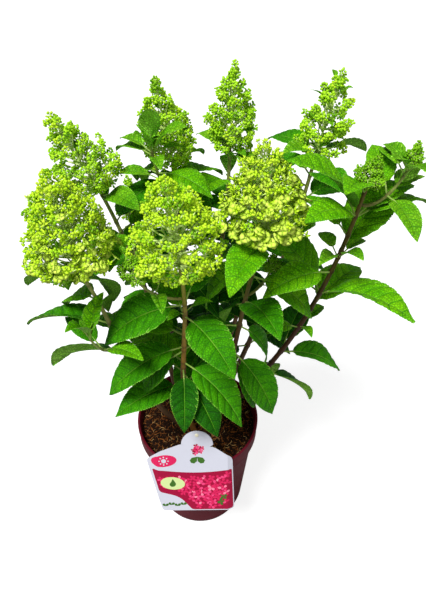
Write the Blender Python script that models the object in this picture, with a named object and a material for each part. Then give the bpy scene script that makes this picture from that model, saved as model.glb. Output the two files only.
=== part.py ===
"""A panicle hydrangea in a tall plastic pot, as solids at real size.

Ten canes rise from the potting mix. Each carries a leafy shoot with its leaves in opposite pairs, and most
end in a cone of flower buds. The plant is described by its driving sizes, and functions grow it from them.
Metres, +Z up. The origin is the centre of the pot's flat underside.
"""

import math
import random
from collections import namedtuple

import bmesh
import bpy
from mathutils import Matrix, Vector
from mathutils.bvhtree import BVHTree

MM = 0.001
UP = Vector((0, 0, 1))
GAP = 0.3 * MM  # between solids that rest on each other
MERGE = 0.005 * MM  # points of a fused solid closer than this become one

# The pot, the mix in it, and the care label leaning on its rim
POT_HEIGHT = 215 * MM
RIM_RADIUS = 95 * MM
BASE_RADIUS = 73 * MM
LIP_HEIGHT = 30 * MM
LIP_STEP = 3.5 * MM
WALL = 2 * MM
POT_SIDES = 40
MIX_DROP = 15 * MM
MIX_LEVEL = POT_HEIGHT - MIX_DROP
# The card's corners in its own plane in mm, counted from the rim's level, with a radius each, and its nose
LABEL_SIDES = (
    (-17, 45, 4),
    (-50, 32, 6),
    (-68, 15, 5),
    (-46, -71, 5),
    (61, -71, 5),
    (58, 20, 7),
    (31, 40, 6),
)
NOSE_MIDDLE = 7 * MM
NOSE_LEVEL = 44 * MM
NOSE_RADIUS = 23 * MM
LABEL_FOLD = 51 * MM
LABEL_THICKNESS = 1.2 * MM
LABEL_TILT = math.radians(23)
LABEL_SHIFT = -6 * MM
STAKE_WIDTH = 7 * MM

# Stems
CANE_RADIUS = 4.4 * MM
TIP_RADIUS = 2.1 * MM
FOOT_FLARE = 1.35
CANE_SIDES = 8
SHOOT_SIDES = 5

# Leaves
PETIOLE = 12 * MM
PETIOLE_RADIUS = 1.1 * MM
LEAF_SHARE = 0.57  # width over length
LEAF_THICKNESS = 0.02  # at the midrib, as a share of the length
LEAF_FOLD = math.radians(16)
LEAF_BEND = math.radians(52)
LEAF_STATIONS = (0.25, 0.66)
LEAF_CLEARANCE = 2.5 * MM
STALK_CLEARANCE = 1.8 * MM
SMALL_LEAF = 35  # mm; a shorter one has no partner and takes no node
NODE_STEP = 0.045  # the least share of a cane between two nodes
SEED = 11

Cane = namedtuple("Cane", "foot foot_lean top top_lean bare pairs turn leaf front")
CANES = {
    # foot and top in mm, leans as run over rise, the share with no leaves, pairs, first bearing, leaf length
    # in mm, and how far round from the front, in degrees, only leaves that are set one by one grow
    "front": Cane((-4, -22), (-0.26, -0.03), (-9, -57, 567), (-0.09, -0.20), 0.30, 6, -20, 100, 100),
    "front_right": Cane((12, -17), (0.39, 0.05), (83, -41, 588), (0.23, -0.21), 0.30, 6, -60, 96, 100),
    "right": Cane((24, -3), (0.76, 0.12), (184, -30, 647), (0.17, 0.12), 0.29, 7, -15, 100, 100),
    "right_back": Cane((24, 10), (0.34, 0.02), (152, 80, 630), (0.16, 0.12), 0.32, 6, 30, 88, 40),
    "back": Cane((4, 13), (0.06, 0.26), (50, 118, 615), (0.02, 0.10), 0.32, 6, 60, 88, 30),
    "middle": Cane((-11, 12), (0.02, 0.16), (-20, 80, 618), (-0.02, 0.10), 0.36, 6, 165, 84, 30),
    "left_back": Cane((-24, 6), (-0.12, 0.10), (-106, 50, 596), (-0.36, 0.04), 0.30, 6, 120, 88, 60),
    "left": Cane((-21, -11), (-0.72, -0.08), (-119, -49, 552), (-0.31, -0.02), 0.28, 6, 180, 96, 100),
    "low_left": Cane((-6, 27), (-0.24, 0.40), (-78, 142, 492), (-0.18, 0.18), 0.30, 5, 100, 96, 0),
    "low_right": Cane((14, 23), (0.30, 0.36), (104, 148, 500), (0.18, 0.20), 0.30, 5, 75, 96, 0),
}

# Short shoots from a cane's side: cane, share of its height, bearing, run and rise in mm, leaf pairs, and
# leaf length in mm
Side = namedtuple("Side", "cane share bearing run rise pairs leaf")
SIDES = {
    "middle_side": Side("middle", 0.925, -120, 38, 66, 2, 42),
    "front_side": Side("front", 0.845, -172, 50, 40, 1, 40),
    "front_right_side": Side("front_right", 0.755, 35, 34, 24, 1, 44),
    "right_side": Side("right", 0.955, 0, 40, 47, 2, 40),
    "back_side": Side("back", 0.74, 40, 46, 62, 2, 60),
    "left_back_side": Side("left_back", 0.72, 100, 44, 56, 2, 60),
    "left_side": Side("left", 0.66, -125, 40, 46, 2, 56),
}

# Cones of buds, by the shoot that carries each: height and width in mm, lean as run over rise, tiers of
# sprays, and sprays round the lowest tier
Panicle = namedtuple("Panicle", "height width lean tiers round")
PANICLES = {
    "front": Panicle(112, 126, (-0.08, 0.0), 5, 5),
    "front_right": Panicle(118, 108, (-0.06, 0.0), 5, 5),
    "right": Panicle(34, 40, (0.2, 0.0), 2, 3),
    "right_back": Panicle(96, 80, (0.18, 0.0), 4, 4),
    "back": Panicle(106, 76, (0.05, 0.03), 5, 4),
    "middle": Panicle(102, 82, (-0.14, 0.0), 5, 4),
    "left_back": Panicle(106, 96, (-0.42, 0.0), 5, 5),
    "left": Panicle(130, 118, (-0.12, 0.0), 5, 5),
    "low_left": Panicle(66, 58, (-0.2, 0.2), 3, 3),
    "low_right": Panicle(62, 54, (0.2, 0.2), 3, 3),
    "front_side": Panicle(28, 44, (-0.1, -0.1), 2, 3),
    "front_right_side": Panicle(22, 32, (0.1, 0.0), 2, 3),
    "right_side": Panicle(22, 26, (0.1, 0.0), 2, 3),
    "back_side": Panicle(26, 34, (0.1, 0.1), 2, 3),
}

# Leaves set one by one, those that show best from the front: share of the cane's height, bearing, droop,
# length in mm, and how many degrees the face of one that points sideways is turned to the front
SET_LEAVES = {
    "front": (
        (0.355, -149, -4, 94, 12),
        (0.432, -59, -34, 88, 8),
        (0.458, -86, -36, 76, 8),
        (0.495, -35, -36, 107, 0),
        (0.565, -156, -74, 82, 0),
        (0.588, -164, -28, 107, 6),
        (0.650, 174, -18, 115, 4),
        (0.755, -55, -13, 94, 10),
        (0.765, -119, 20, 28, 8),
        (0.775, -12, 25, 29, 8),
        (0.815, -177, -30, 103, 26),
        (0.955, 150, -34, 91, 16),
    ),
    "front_right": (
        (0.455, -40, -69, 84, 8),
        (0.478, -39, -56, 102, 0),
        (0.613, 1, -74, 79, 8),
        (0.720, 131, -64, 60, 8),
        (0.728, -70, 12, 89, 8),
        (0.848, 17, -40, 95, 10),
        (0.897, 166, -58, 95, 10),
        (0.985, -140, 0, 87, 8),
    ),
    "right": (
        (0.315, -1, -46, 89, -32),
        (0.367, 79, -80, 51, 8),
        (0.427, 4, -32, 90, -6),
        (0.435, 65, 4, 79, 8),
        (0.547, -151, 10, 42, 8),
        (0.552, -73, 27, 26, 8),
        (0.628, 43, -1, 95, 8),
        (0.690, -37, 18, 115, -8),
        (0.690, 150, 35, 108, 4),
        (0.810, -129, 15, 40, 8),
        (0.810, -70, 40, 40, 8),
        (0.828, 44, 18, 104, 12),
        (0.925, -170, 45, 103, -4),
        (0.925, 23, -16, 99, -22),
        (0.927, -144, 28, 72, 8),
        (0.985, -148, 26, 66, 4),
    ),
    "right_back": (
        (0.930, -72, 9, 75, 0),
        (0.985, -146, 28, 46, 8),
        (0.985, 29, -9, 70, -34),
        (0.985, 130, -10, 71, 8),
    ),
    "back": (
        (0.893, -118, 10, 79, 0),
        (0.985, -64, 42, 42, 8),
        (0.985, 92, -63, 47, 8),
        (0.985, 133, 11, 52, 8),
    ),
    "middle": (
        (0.925, 131, -40, 62, 8),
        (0.948, 43, -23, 77, -6),
        (0.985, 54, -16, 56, -10),
    ),
    "left_back": (
        (0.855, -93, -5, 68, 8),
        (0.890, 76, -32, 60, 8),
        (0.985, -98, 32, 44, 8),
        (0.985, -44, 2, 57, 20),
    ),
    "left": (
        (0.608, 168, -25, 106, -42),
        (0.768, 169, -14, 107, -22),
        (0.820, 126, -75, 61, 8),
        (0.860, 133, -55, 66, 8),
        (0.883, 142, -46, 78, 6),
        (0.950, 134, -42, 56, -8),
        (0.968, 157, -19, 87, -38),
        (0.975, 70, -73, 82, 8),
    ),
    "middle_side": (
        (0.560, 114, -55, 57, 8),
        (0.608, 150, -12, 73, 6),
        (0.858, -76, 4, 34, 8),
        (0.905, -25, 39, 52, 12),
        (0.948, -118, 41, 36, 8),
        (0.948, -79, 64, 50, 8),
    ),
    "right_side": (
        (0.443, 106, 18, 60, 8),
        (0.503, -148, 74, 61, 8),
        (0.807, -81, 26, 42, 8),
        (0.873, -113, 55, 44, 8),
        (0.890, -85, 42, 42, 8),
    ),
}

# How a leaf may turn and rise, in degrees, and shrink to find room, tried in this order
TRIES = (
    (0, 0, 1),
    (5, 0, 1),
    (-5, 0, 1),
    (0, 5, 1),
    (0, -5, 1),
    (6, 6, 1),
    (-6, 6, 1),
    (10, -4, 1),
    (-10, -4, 1),
    (0, 12, 1),
    (0, -14, 1),
    (16, 6, 1),
    (-16, 6, 1),
    (24, -4, 0.95),
    (-24, -4, 0.95),
    (36, 0, 0.9),
    (-36, 0, 0.9),
    (0, 26, 0.9),
    (26, -26, 0.8),
    (-26, -26, 0.8),
    (50, 10, 0.8),
    (-50, 10, 0.8),
    (0, -34, 0.7),
    (0, 40, 0.7),
)


# How a stem runs


def heading(bearing, rise):
    """A unit vector from a compass bearing, counted from +X towards +Y, and an angle above the horizon."""
    turn, lift = math.radians(bearing), math.radians(rise)
    return Vector((math.cos(turn) * math.cos(lift), math.sin(turn) * math.cos(lift), math.sin(lift)))


def lean_heading(lean):
    return Vector((lean[0], lean[1], 1)).normalized()


class Stem:
    """A smooth curve from foot to top that leaves and arrives in given directions, and tapers."""

    def __init__(self, foot, foot_way, top, top_way, foot_radius, top_radius):
        self.foot, self.top = Vector(foot), Vector(top)
        self.length = (self.top - self.foot).length
        self.foot_way, self.top_way = foot_way * self.length, top_way * self.length
        self.foot_radius, self.top_radius = foot_radius, top_radius

    def at(self, share):
        s2, s3 = share * share, share**3
        return (
            self.foot * (2 * s3 - 3 * s2 + 1)
            + self.foot_way * (s3 - 2 * s2 + share)
            + self.top * (3 * s2 - 2 * s3)
            + self.top_way * (s3 - s2)
        )

    def way(self, share, step=0.01):
        if share == 0:
            return self.foot_way.normalized()
        low, high = max(0.0, share - step), min(1.0, share + step)
        return (self.at(high) - self.at(low)).normalized()

    def radius(self, share):
        return self.foot_radius + (self.top_radius - self.foot_radius) * share


def cane_stem(cane):
    foot = Vector((cane.foot[0] * MM, cane.foot[1] * MM, MIX_LEVEL + GAP))
    top = Vector(cane.top) * MM
    return Stem(foot, lean_heading(cane.foot_lean), top, lean_heading(cane.top_lean), CANE_RADIUS, TIP_RADIUS)


def side_stem(side, parent):
    out = heading(side.bearing, 0)
    way = parent.way(side.share)
    out = (out - way * out.dot(way)).normalized()
    radius = TIP_RADIUS * 0.9
    foot = parent.at(side.share) + out * (parent.radius(side.share) + GAP)
    top = foot + heading(side.bearing, 0) * side.run * MM + UP * side.rise * MM
    return Stem(foot, out, top, (out * 0.25 + UP).normalized(), radius, radius * 0.7)


# Shapes as lists of points and faces


def square_to(way, near=UP):
    """Two unit vectors square to a direction, the second as close to near as it can be."""
    side = way.cross(near)
    if side.length < 1e-4:
        side = way.cross(Vector((1, 0, 0)))
    side.normalize()
    return side, side.cross(way).normalized()


def rings_to_faces(rings, sides, tip=False):
    """Faces over rings of points in order, with a cap at the start and a cap or a point at the end."""
    faces = [tuple(reversed(range(sides)))]
    for ring in range(rings - 1):
        for i in range(sides):
            a, b = ring * sides + i, ring * sides + (i + 1) % sides
            faces.append((a, b, b + sides, a + sides))
    last = (rings - 1) * sides
    if tip:
        faces += [(last + i, last + (i + 1) % sides, last + sides) for i in range(sides)]
    else:
        faces.append(tuple(last + i for i in range(sides)))
    return faces


def stem_shape(stem, low, high, sides, rings, level_foot=False):
    """A tapering tube along part of a stem. A level foot is cut flat and flares."""
    points = []
    for k in range(rings):
        share = low + (high - low) * k / (rings - 1)
        way, radius = stem.way(share), stem.radius(share)
        if level_foot and k == 0:
            way, radius = UP, radius * FOOT_FLARE
        across, over = square_to(way, Vector((0, 1, 0)))
        for i in range(sides):
            turn = 2 * math.pi * i / sides
            points.append(stem.at(share) + (across * math.cos(turn) - over * math.sin(turn)) * radius)
    return points, rings_to_faces(rings, sides)


def leaf_width(share):
    """Half the blade's width along its length, as a share of its widest: broad low down, with a drawn tip."""
    return math.sin(math.pi * share**0.8) ** 0.85 * (1 - 0.18 * share)


class Leaf:
    """A blade on its stalk: it leaves the stem, arches over and hangs its tip, folded along the midrib."""

    def __init__(self, root, stem_radius, bearing, droop, length, roll):
        self.root, self.bearing, self.length, self.roll = root, bearing, length, roll
        self.first_rise = math.radians(droop) + LEAF_BEND / 2
        self.base = root + heading(bearing, math.degrees(self.first_rise)) * (stem_radius + PETIOLE)

    def spine(self, share):
        """The point on the midrib at a share of the blade's length, and the direction there."""
        steps = 12
        place = self.base.copy()
        for k in range(steps):
            rise = self.first_rise - LEAF_BEND * share * (k + 0.5) / steps
            place += heading(self.bearing, math.degrees(rise)) * self.length * share / steps
        end_rise = self.first_rise - LEAF_BEND * share
        return place, heading(self.bearing, math.degrees(end_rise))

    def frame(self, share):
        """The midrib's point, its direction, and unit vectors to the left edge and out of the upper face."""
        place, way = self.spine(share)
        left = UP.cross(heading(self.bearing, 0))
        left = Matrix.Rotation(self.roll, 3, way) @ left
        return place, way, left, way.cross(left)


def leaf_shape(leaf, with_stalk=True):
    """A closed thin blade, ridged under the midrib. With its stalk it starts on the stem's middle line."""
    points = []
    thick = leaf.length * LEAF_THICKNESS / 2
    _, _, left, face = leaf.frame(0)
    stations = [(leaf.root, left, face, PETIOLE_RADIUS, PETIOLE_RADIUS, 0.0)] if with_stalk else []
    stations.append((leaf.base, left, face, PETIOLE_RADIUS * 1.3, PETIOLE_RADIUS, 0.0))
    for share in LEAF_STATIONS:
        place, _, left, face = leaf.frame(share)
        half = leaf.length * LEAF_SHARE / 2 * leaf_width(share)
        stations.append((place, left, face, half, thick, LEAF_FOLD))
    for place, left, face, half, rib, fold in stations:
        out, lift = half * math.cos(fold), half * math.sin(fold)
        points += [
            place + left * out + face * lift,
            place + face * rib,
            place - left * out + face * lift,
            place - face * rib,
        ]
    points.append(leaf.spine(1.0)[0])
    faces = rings_to_faces(len(stations), 4, tip=True)
    return points, [tuple(reversed(face)) for face in faces]


def panicle_width(share):
    """Half the cone's width up its height, as a share of its widest."""
    return min(1.0, 0.55 + 1.6 * share) * (1 - share) ** 0.72 * 1.2


def panicle_sprays(panicle, foot, seed):
    """The cone's sprays of buds: where each one leaves the axis, its centre and its radius."""
    dice = random.Random(seed)
    way = lean_heading(panicle.lean)
    height, half = panicle.height * MM, panicle.width * MM / 2
    across, over = square_to(way, Vector((0, 1, 0)))
    sprays = []
    for tier in range(panicle.tiers):
        level = (tier + 0.35) / (panicle.tiers + 0.25)
        reach = half * panicle_width(level)
        round_here = max(3, round(panicle.round * (1 - 0.45 * level)))
        size = min(0.5 * reach, height / panicle.tiers * (0.62 - 0.14 * level))
        for k in range(round_here):
            turn = 2 * math.pi * (k + 0.5 * (tier % 2)) / round_here + dice.uniform(-0.2, 0.2)
            out = across * math.cos(turn) + over * math.sin(turn)
            rise = max(size * 1.4, height * (level + dice.uniform(-0.03, 0.03)))
            centre = foot + way * rise + out * (reach - size)
            start = foot + way * max(2.5 * MM, rise - 0.16 * height)
            sprays.append((start, centre, size))
    top_size = height / panicle.tiers * 0.42
    sprays.append((foot + way * height * 0.8, foot + way * (height - top_size), top_size))
    return sprays


def spray_shape(start, centre, radius, dice):
    """A spray of buds: it widens from its root on the axis to a five-sided girdle and closes to a tip."""
    way = (centre - start).normalized()
    across, over = square_to(way, Vector((0.2, 1, 0.1)))
    first = dice.uniform(0, 2 * math.pi)
    points = [start]
    for k in range(5):
        turn = first + 2 * math.pi * k / 5
        out = across * math.cos(turn) - over * math.sin(turn)
        points.append(centre + way * radius * 0.1 + out * radius * dice.uniform(0.95, 1.1))
    points.append(centre + way * radius)
    ring = [(1 + k, 1 + (k + 1) % 5) for k in range(5)]
    return points, [(a, b, 6) for a, b in ring] + [(b, a, 0) for a, b in ring]


def panicle_shapes(panicle, stem, foot, seed):
    """The cone's axis and inner core, then its sprays of buds."""
    dice = random.Random(seed + 1)
    way = lean_heading(panicle.lean)
    height, half = panicle.height * MM, panicle.width * MM / 2
    core = []
    for level, share in ((0.0, 0.0), (0.15, 0.34), (0.45, 0.42), (0.85, 0.3)):
        across, over = square_to(way if level else stem.way(1), Vector((0, 1, 0)))
        radius = max(stem.radius(1) * 0.95, half * panicle_width(level) * share)
        for i in range(5):
            turn = 2 * math.pi * i / 5
            out = across * math.cos(turn) - over * math.sin(turn)
            core.append(foot + way * height * level + out * radius)
    shapes = [(core, rings_to_faces(4, 5))]
    for start, centre, size in panicle_sprays(panicle, foot, seed):
        shapes.append(spray_shape(start, centre, size, dice))
    return shapes


# How the leaves find their room


class Room:
    """Everything placed so far, to keep a new leaf clear of it."""

    def __init__(self):
        self.points, self.faces, self.owners, self.tree = [], [], [], None

    def add(self, shape, owner):
        points, faces = shape
        first = len(self.points)
        self.points += points
        self.faces += [tuple(first + i for i in face) for face in faces]
        self.owners += [owner] * len(faces)
        self.tree = None

    def owners_near(self, place, distance):
        return {self.owners[index] for _, _, index, _ in self.tree.find_nearest_range(place, distance)}

    def free_for(self, leaf, owner):
        if self.tree is None:
            self.tree = BVHTree.FromPolygons(self.points, self.faces)
        points, faces = leaf_shape(leaf, with_stalk=False)
        if self.tree.overlap(BVHTree.FromPolygons(points, faces)):
            return False
        rows = [points[k : k + 4] for k in range(0, len(points) - 1, 4)] + [[points[-1]] * 4]
        probes = list(points)
        for near, far in zip(rows, rows[1:]):
            probes += [(a + b) / 2 for a, b in zip(near, far)]
        if any(self.tree.find_nearest(p, LEAF_CLEARANCE)[0] for p in probes):
            return False
        for share in (0.15, 0.3, 0.5, 0.7, 0.85):
            near = self.owners_near(leaf.root.lerp(leaf.base, share), STALK_CLEARANCE)
            if near - {owner} if share < 0.5 else near:
                return False
        return True


def shoot_plan():
    """Every leafy shoot: name, its stem, where its leaves start, its pairs, first bearing and leaf length."""
    stems = {name: cane_stem(cane) for name, cane in CANES.items()}
    plan = [(name, stems[name], cane.bare, cane.pairs, cane.turn, cane.leaf) for name, cane in CANES.items()]
    for name, side in SIDES.items():
        stem = side_stem(side, stems[side.cane])
        plan.append((name, stem, 0.45, side.pairs, side.bearing + 90, side.leaf))
    return plan


def faces_front(name, bearing):
    """Whether a leaf points to the part of the front that is left to the leaves set one by one."""
    return name in CANES and abs((bearing + 90 + 180) % 360 - 180) < CANES[name].front


def set_choices(name, dice):
    """The leaves set one by one, then for each long one a partner on the other side of its node."""
    rows = SET_LEAVES.get(name, ())
    for number, (share, bearing, droop, length, face) in enumerate(rows):
        roll = math.radians(face) * math.cos(math.radians(bearing))
        yield ("set", number), share, bearing, droop, length * MM, roll
    for number, (share, bearing, _, length, _) in enumerate(rows):
        opposite = bearing + 180 + dice.uniform(-14, 14)
        if length > SMALL_LEAF and not faces_front(name, opposite):
            yield ("partner", number), share, opposite, -12 + dice.uniform(-12, 8), length * 0.94 * MM, 0.0


def filling_choices(name, low, pairs, turn, length, dice):
    """Opposite pairs up the shoot, each turned a quarter from the last, between the leaves set one by one."""
    taken = [row[0] for row in SET_LEAVES.get(name, ()) if row[3] > SMALL_LEAF]
    side_shoot = name in SIDES
    for pair in range(pairs):
        level = pair / max(1, pairs - 1)
        share = low + 0.03 + (0.955 - low) * level
        for which in (0, 1):
            bearing = turn + 90 * pair + 180 * which + dice.uniform(-12, 12)
            droop = (8 + 40 * level if side_shoot else -26 + 24 * level) + dice.uniform(-8, 8)
            size = length * (1.04 - 0.2 * level**2) * dice.uniform(0.92, 1.05)
            roll = math.radians(dice.uniform(-14, 14))
            if faces_front(name, bearing):
                continue
            if all(abs(share - other) > NODE_STEP for other in taken):
                yield ("pair", pair, which), share, bearing, droop, size * MM, roll


def place_leaves(room):
    """A leaf for each choice that finds room, those set one by one first, turned or shortened as needed."""
    dice = random.Random(SEED)
    plan = shoot_plan()
    wanted = []
    for name, stem, *_ in plan:
        wanted += [(name, stem, choice) for choice in set_choices(name, dice)]
    wanted.sort(key=lambda item: item[2][0][0] != "set")
    for name, stem, low, pairs, turn, length in plan:
        wanted += [(name, stem, choice) for choice in filling_choices(name, low, pairs, turn, length, dice)]
    placed = {}
    for name, stem, (key, share, bearing, droop, size, roll) in wanted:
        for turn, lift, scale in TRIES:
            leaf = Leaf(stem.at(share), stem.radius(share), bearing + turn, droop + lift, size * scale, roll)
            if room.free_for(leaf, name):
                placed[(name, *key)] = leaf
                room.add(leaf_shape(leaf), name)
                break
    print(f"{len(placed)} leaves of {len(wanted)} found room")
    return placed


# Objects and materials


def material(name, colour, roughness, metallic=0.0):
    made = bpy.data.materials.new(name)
    made.use_nodes = True
    shader = made.node_tree.nodes["Principled BSDF"]
    shader.inputs["Base Color"].default_value = (*colour, 1)
    shader.inputs["Roughness"].default_value = roughness
    shader.inputs["Metallic"].default_value = metallic
    return made


def new_object(name, shape, finish, collection=None):
    points, faces = shape
    mesh = bpy.data.meshes.new(name)
    mesh.from_pydata([tuple(p) for p in points], [], faces)
    mesh.update()
    made = bpy.data.objects.new(name, mesh)
    (collection or bpy.context.scene.collection).objects.link(made)
    mesh.materials.append(finish)
    return made


def apply_modifiers(made):
    graph = bpy.context.evaluated_depsgraph_get()
    mesh = bpy.data.meshes.new_from_object(made.evaluated_get(graph))
    made.modifiers.clear()
    made.data = mesh


def fused(name, shapes, finish):
    """One solid from overlapping shapes: the first is joined with a collection of the others."""
    made = new_object(name, shapes[0], finish)
    others = bpy.data.collections.new(name + "_pieces")
    bpy.context.scene.collection.children.link(others)
    for k, shape in enumerate(shapes[1:]):
        new_object(f"{name}_piece_{k}", shape, finish, others)
    union = made.modifiers.new("join", "BOOLEAN")
    union.operation = "UNION"
    union.operand_type = "COLLECTION"
    union.collection = others
    union.solver = "MANIFOLD"
    bpy.context.view_layer.update()
    apply_modifiers(made)
    for piece in list(others.objects):
        bpy.data.objects.remove(piece)
    bpy.data.collections.remove(others)
    keep_outer_skin(made.data)
    return made


def loose_parts(bm):
    """The mesh's faces, grouped by the surface they belong to."""
    unseen = set(bm.faces)
    while unseen:
        group, front = [], [unseen.pop()]
        while front:
            face = front.pop()
            group.append(face)
            for edge in face.edges:
                for near in edge.link_faces if len(edge.link_faces) == 2 else ():
                    if near in unseen:
                        unseen.remove(near)
                        front.append(near)
        yield group


def keep_outer_skin(mesh):
    """Fills what the union sealed in and drops loose scrap, by keeping only the longest surface."""
    bm = bmesh.new()
    bm.from_mesh(mesh)
    bmesh.ops.remove_doubles(bm, verts=bm.verts, dist=MERGE)
    bmesh.ops.triangulate(bm, faces=bm.faces)
    groups = sorted(loose_parts(bm), key=len)
    scrap = [face for group in groups[:-1] for face in group]
    bmesh.ops.delete(bm, geom=scrap, context="FACES")
    bm.to_mesh(mesh)
    bm.free()


def turned(profile, sides):
    """A closed solid of revolution about Z from an outline of radius and height with its ends on the axis."""
    points = [Vector((0, 0, profile[0][1]))]
    for radius, height in profile[1:-1]:
        for i in range(sides):
            turn = 2 * math.pi * i / sides
            points.append(Vector((radius * math.cos(turn), radius * math.sin(turn), height)))
    points.append(Vector((0, 0, profile[-1][1])))
    faces = []
    rings = len(profile) - 2
    for i in range(sides):
        j = (i + 1) % sides
        faces.append((0, 1 + j, 1 + i))
        for ring in range(rings - 1):
            a = 1 + ring * sides
            faces.append((a + i, a + j, a + sides + j, a + sides + i))
        last = 1 + (rings - 1) * sides
        faces.append((last + i, last + j, len(points) - 1))
    return points, faces


def pot_radius(height):
    """The outside radius of the pot's wall under its lip."""
    top = RIM_RADIUS - LIP_STEP
    return BASE_RADIUS + (top - BASE_RADIUS) * height / POT_HEIGHT


def pot_shape():
    lip_foot = POT_HEIGHT - LIP_HEIGHT
    round_edge = 4 * MM
    return turned(
        [
            (0, 0),
            (BASE_RADIUS - round_edge, 0),
            (BASE_RADIUS, round_edge),
            (pot_radius(lip_foot), lip_foot),
            (RIM_RADIUS - 1 * MM, lip_foot + 0.5 * MM),
            (RIM_RADIUS, POT_HEIGHT - 1 * MM),
            (RIM_RADIUS - 1 * MM, POT_HEIGHT),
            (RIM_RADIUS - LIP_STEP, POT_HEIGHT - 0.5 * MM),
            (pot_radius(lip_foot) - WALL, lip_foot),
            (BASE_RADIUS - WALL, round_edge + 1 * MM),
            (BASE_RADIUS - round_edge - 1 * MM, WALL),
            (0, WALL),
        ],
        POT_SIDES,
    )


def mix_shape():
    lip_foot = POT_HEIGHT - LIP_HEIGHT
    into_lip = (MIX_LEVEL - lip_foot) / LIP_HEIGHT
    low, high = pot_radius(lip_foot) - WALL, RIM_RADIUS - LIP_STEP
    edge = low + (high - low) * into_lip
    inside = 2 * GAP
    return turned(
        [
            (0, WALL + GAP),
            (BASE_RADIUS - 5 * MM - inside, WALL + GAP),
            (BASE_RADIUS - WALL - inside, 5 * MM + inside),
            (low - inside, lip_foot),
            (edge - inside, MIX_LEVEL),
            (0, MIX_LEVEL),
        ],
        POT_SIDES,
    )


def label_place():
    """Where the care label stands: it leans on the rim's front, tilted back."""
    middle = Vector((LABEL_SHIFT, -RIM_RADIUS - LABEL_THICKNESS / 2 - GAP - 0.7 * MM, POT_HEIGHT))
    return Matrix.Translation(middle) @ Matrix.Rotation(-LABEL_TILT, 4, "X")


def label_outline():
    """The card's outline in its own plane: a tapering body, and a round nose at the top."""
    outline = [(x * MM, z * MM) for x, z, _ in LABEL_SIDES]
    steps = 8
    for k in range(steps + 1):
        x, z = (NOSE_RADIUS * way(math.pi * k / steps) for way in (math.cos, math.sin))
        outline.append((NOSE_MIDDLE + x, NOSE_LEVEL + z))
    return outline


def label_shape():
    """A thin card whose two edges fold back round the pot."""
    outline = label_outline()
    place = label_place()
    bend = math.tan(math.radians(26))
    points = []
    for side in (-0.5, 0.5):
        for x, z in outline:
            back = max(0.0, abs(x) - LABEL_FOLD) * bend
            points.append(place @ Vector((x, back + side * LABEL_THICKNESS, z)))
    count = len(outline)
    faces = [(i, (i + 1) % count, (i + 1) % count + count, i + count) for i in range(count)]
    faces += [tuple(range(count)), tuple(range(count, 2 * count))]
    return points, faces


def stake_shape():
    """The label's carrier: a flat stick that stands on the mix behind the card's nose."""
    top = label_place() @ Vector((NOSE_MIDDLE, LABEL_THICKNESS / 2 + GAP + 0.2 * MM, NOSE_LEVEL + 7 * MM))
    foot = Vector((top.x, top.y + 0.5 * MM, MIX_LEVEL + GAP))
    half, thick = STAKE_WIDTH / 2, 1.6 * MM
    corners = [Vector((x, y, 0)) for x, y in ((-half, 0), (half, 0), (half, thick), (-half, thick))]
    return [end + corner for end in (foot, top) for corner in corners], rings_to_faces(2, 4)


def outward(shape):
    """The same shape in triangles, with its faces pointing out."""
    points, faces = shape
    bm = bmesh.new()
    verts = [bm.verts.new(p) for p in points]
    for face in faces:
        bm.faces.new([verts[i] for i in face])
    bm.verts.index_update()
    bmesh.ops.recalc_face_normals(bm, faces=bm.faces)
    bmesh.ops.triangulate(bm, faces=bm.faces)
    made = [v.co.copy() for v in bm.verts], [tuple(v.index for v in f.verts) for f in bm.faces]
    bm.free()
    return made


def clear_scene():
    for old in list(bpy.data.objects):
        bpy.data.objects.remove(old)


def grow():
    """Every shape of the plant by name, each one placed clear of those before it."""
    still = {
        "pot": outward(pot_shape()),
        "potting_mix": outward(mix_shape()),
        "label": outward(label_shape()),
        "label_stake": outward(stake_shape()),
    }
    plan = shoot_plan()
    stems = {name: (stem, low) for name, stem, low, *_ in plan}
    room = Room()
    for name, shape in still.items():
        room.add(shape, name)
    canes, shoots, panicles = {}, {}, {}
    for name, (stem, low) in stems.items():
        if name in CANES:
            short = GAP / stem.length
            canes[name] = outward(stem_shape(stem, 0, low - short, CANE_SIDES, 5, level_foot=True))
            shoots[name] = outward(stem_shape(stem, low, 1, SHOOT_SIDES, 8))
            room.add(canes[name], name)
        else:
            shoots[name] = outward(stem_shape(stem, 0, 1, SHOOT_SIDES, 4))
        room.add(shoots[name], name)
    for number, (name, panicle) in enumerate(PANICLES.items()):
        stem = stems[name][0]
        foot = stem.at(1) + stem.way(1) * GAP
        panicles[name] = [outward(shape) for shape in panicle_shapes(panicle, stem, foot, SEED + 10 * number)]
        for shape in panicles[name]:
            room.add(shape, f"panicle {name}")
    leaves = place_leaves(room)
    return still, canes, shoots, panicles, leaves


def main():
    clear_scene()
    plastic = material("pot plastic", (0.16, 0.02, 0.035), 0.45)
    peat = material("potting mix", (0.06, 0.03, 0.015), 0.95)
    card = material("label card", (0.8, 0.78, 0.82), 0.3)
    stick = material("label stake", (0.8, 0.76, 0.6), 0.5)
    bark = material("cane bark", (0.12, 0.05, 0.03), 0.7)
    green = material("leaf", (0.06, 0.24, 0.02), 0.45)
    lime = material("flower buds", (0.42, 0.56, 0.08), 0.6)

    still, canes, shoots, panicles, leaves = grow()
    for (name, shape), finish in zip(still.items(), (plastic, peat, card, stick)):
        new_object(name, shape, finish)
    for name, shape in canes.items():
        new_object(f"cane_{name}", shape, bark)
    for name, shapes in panicles.items():
        fused(f"panicle_{name}", shapes, lime)
    for name, shape in shoots.items():
        own = [outward(leaf_shape(leaf)) for key, leaf in leaves.items() if key[0] == name]
        fused(f"leaves_{name}", [shape] + own, green)


main()
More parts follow.
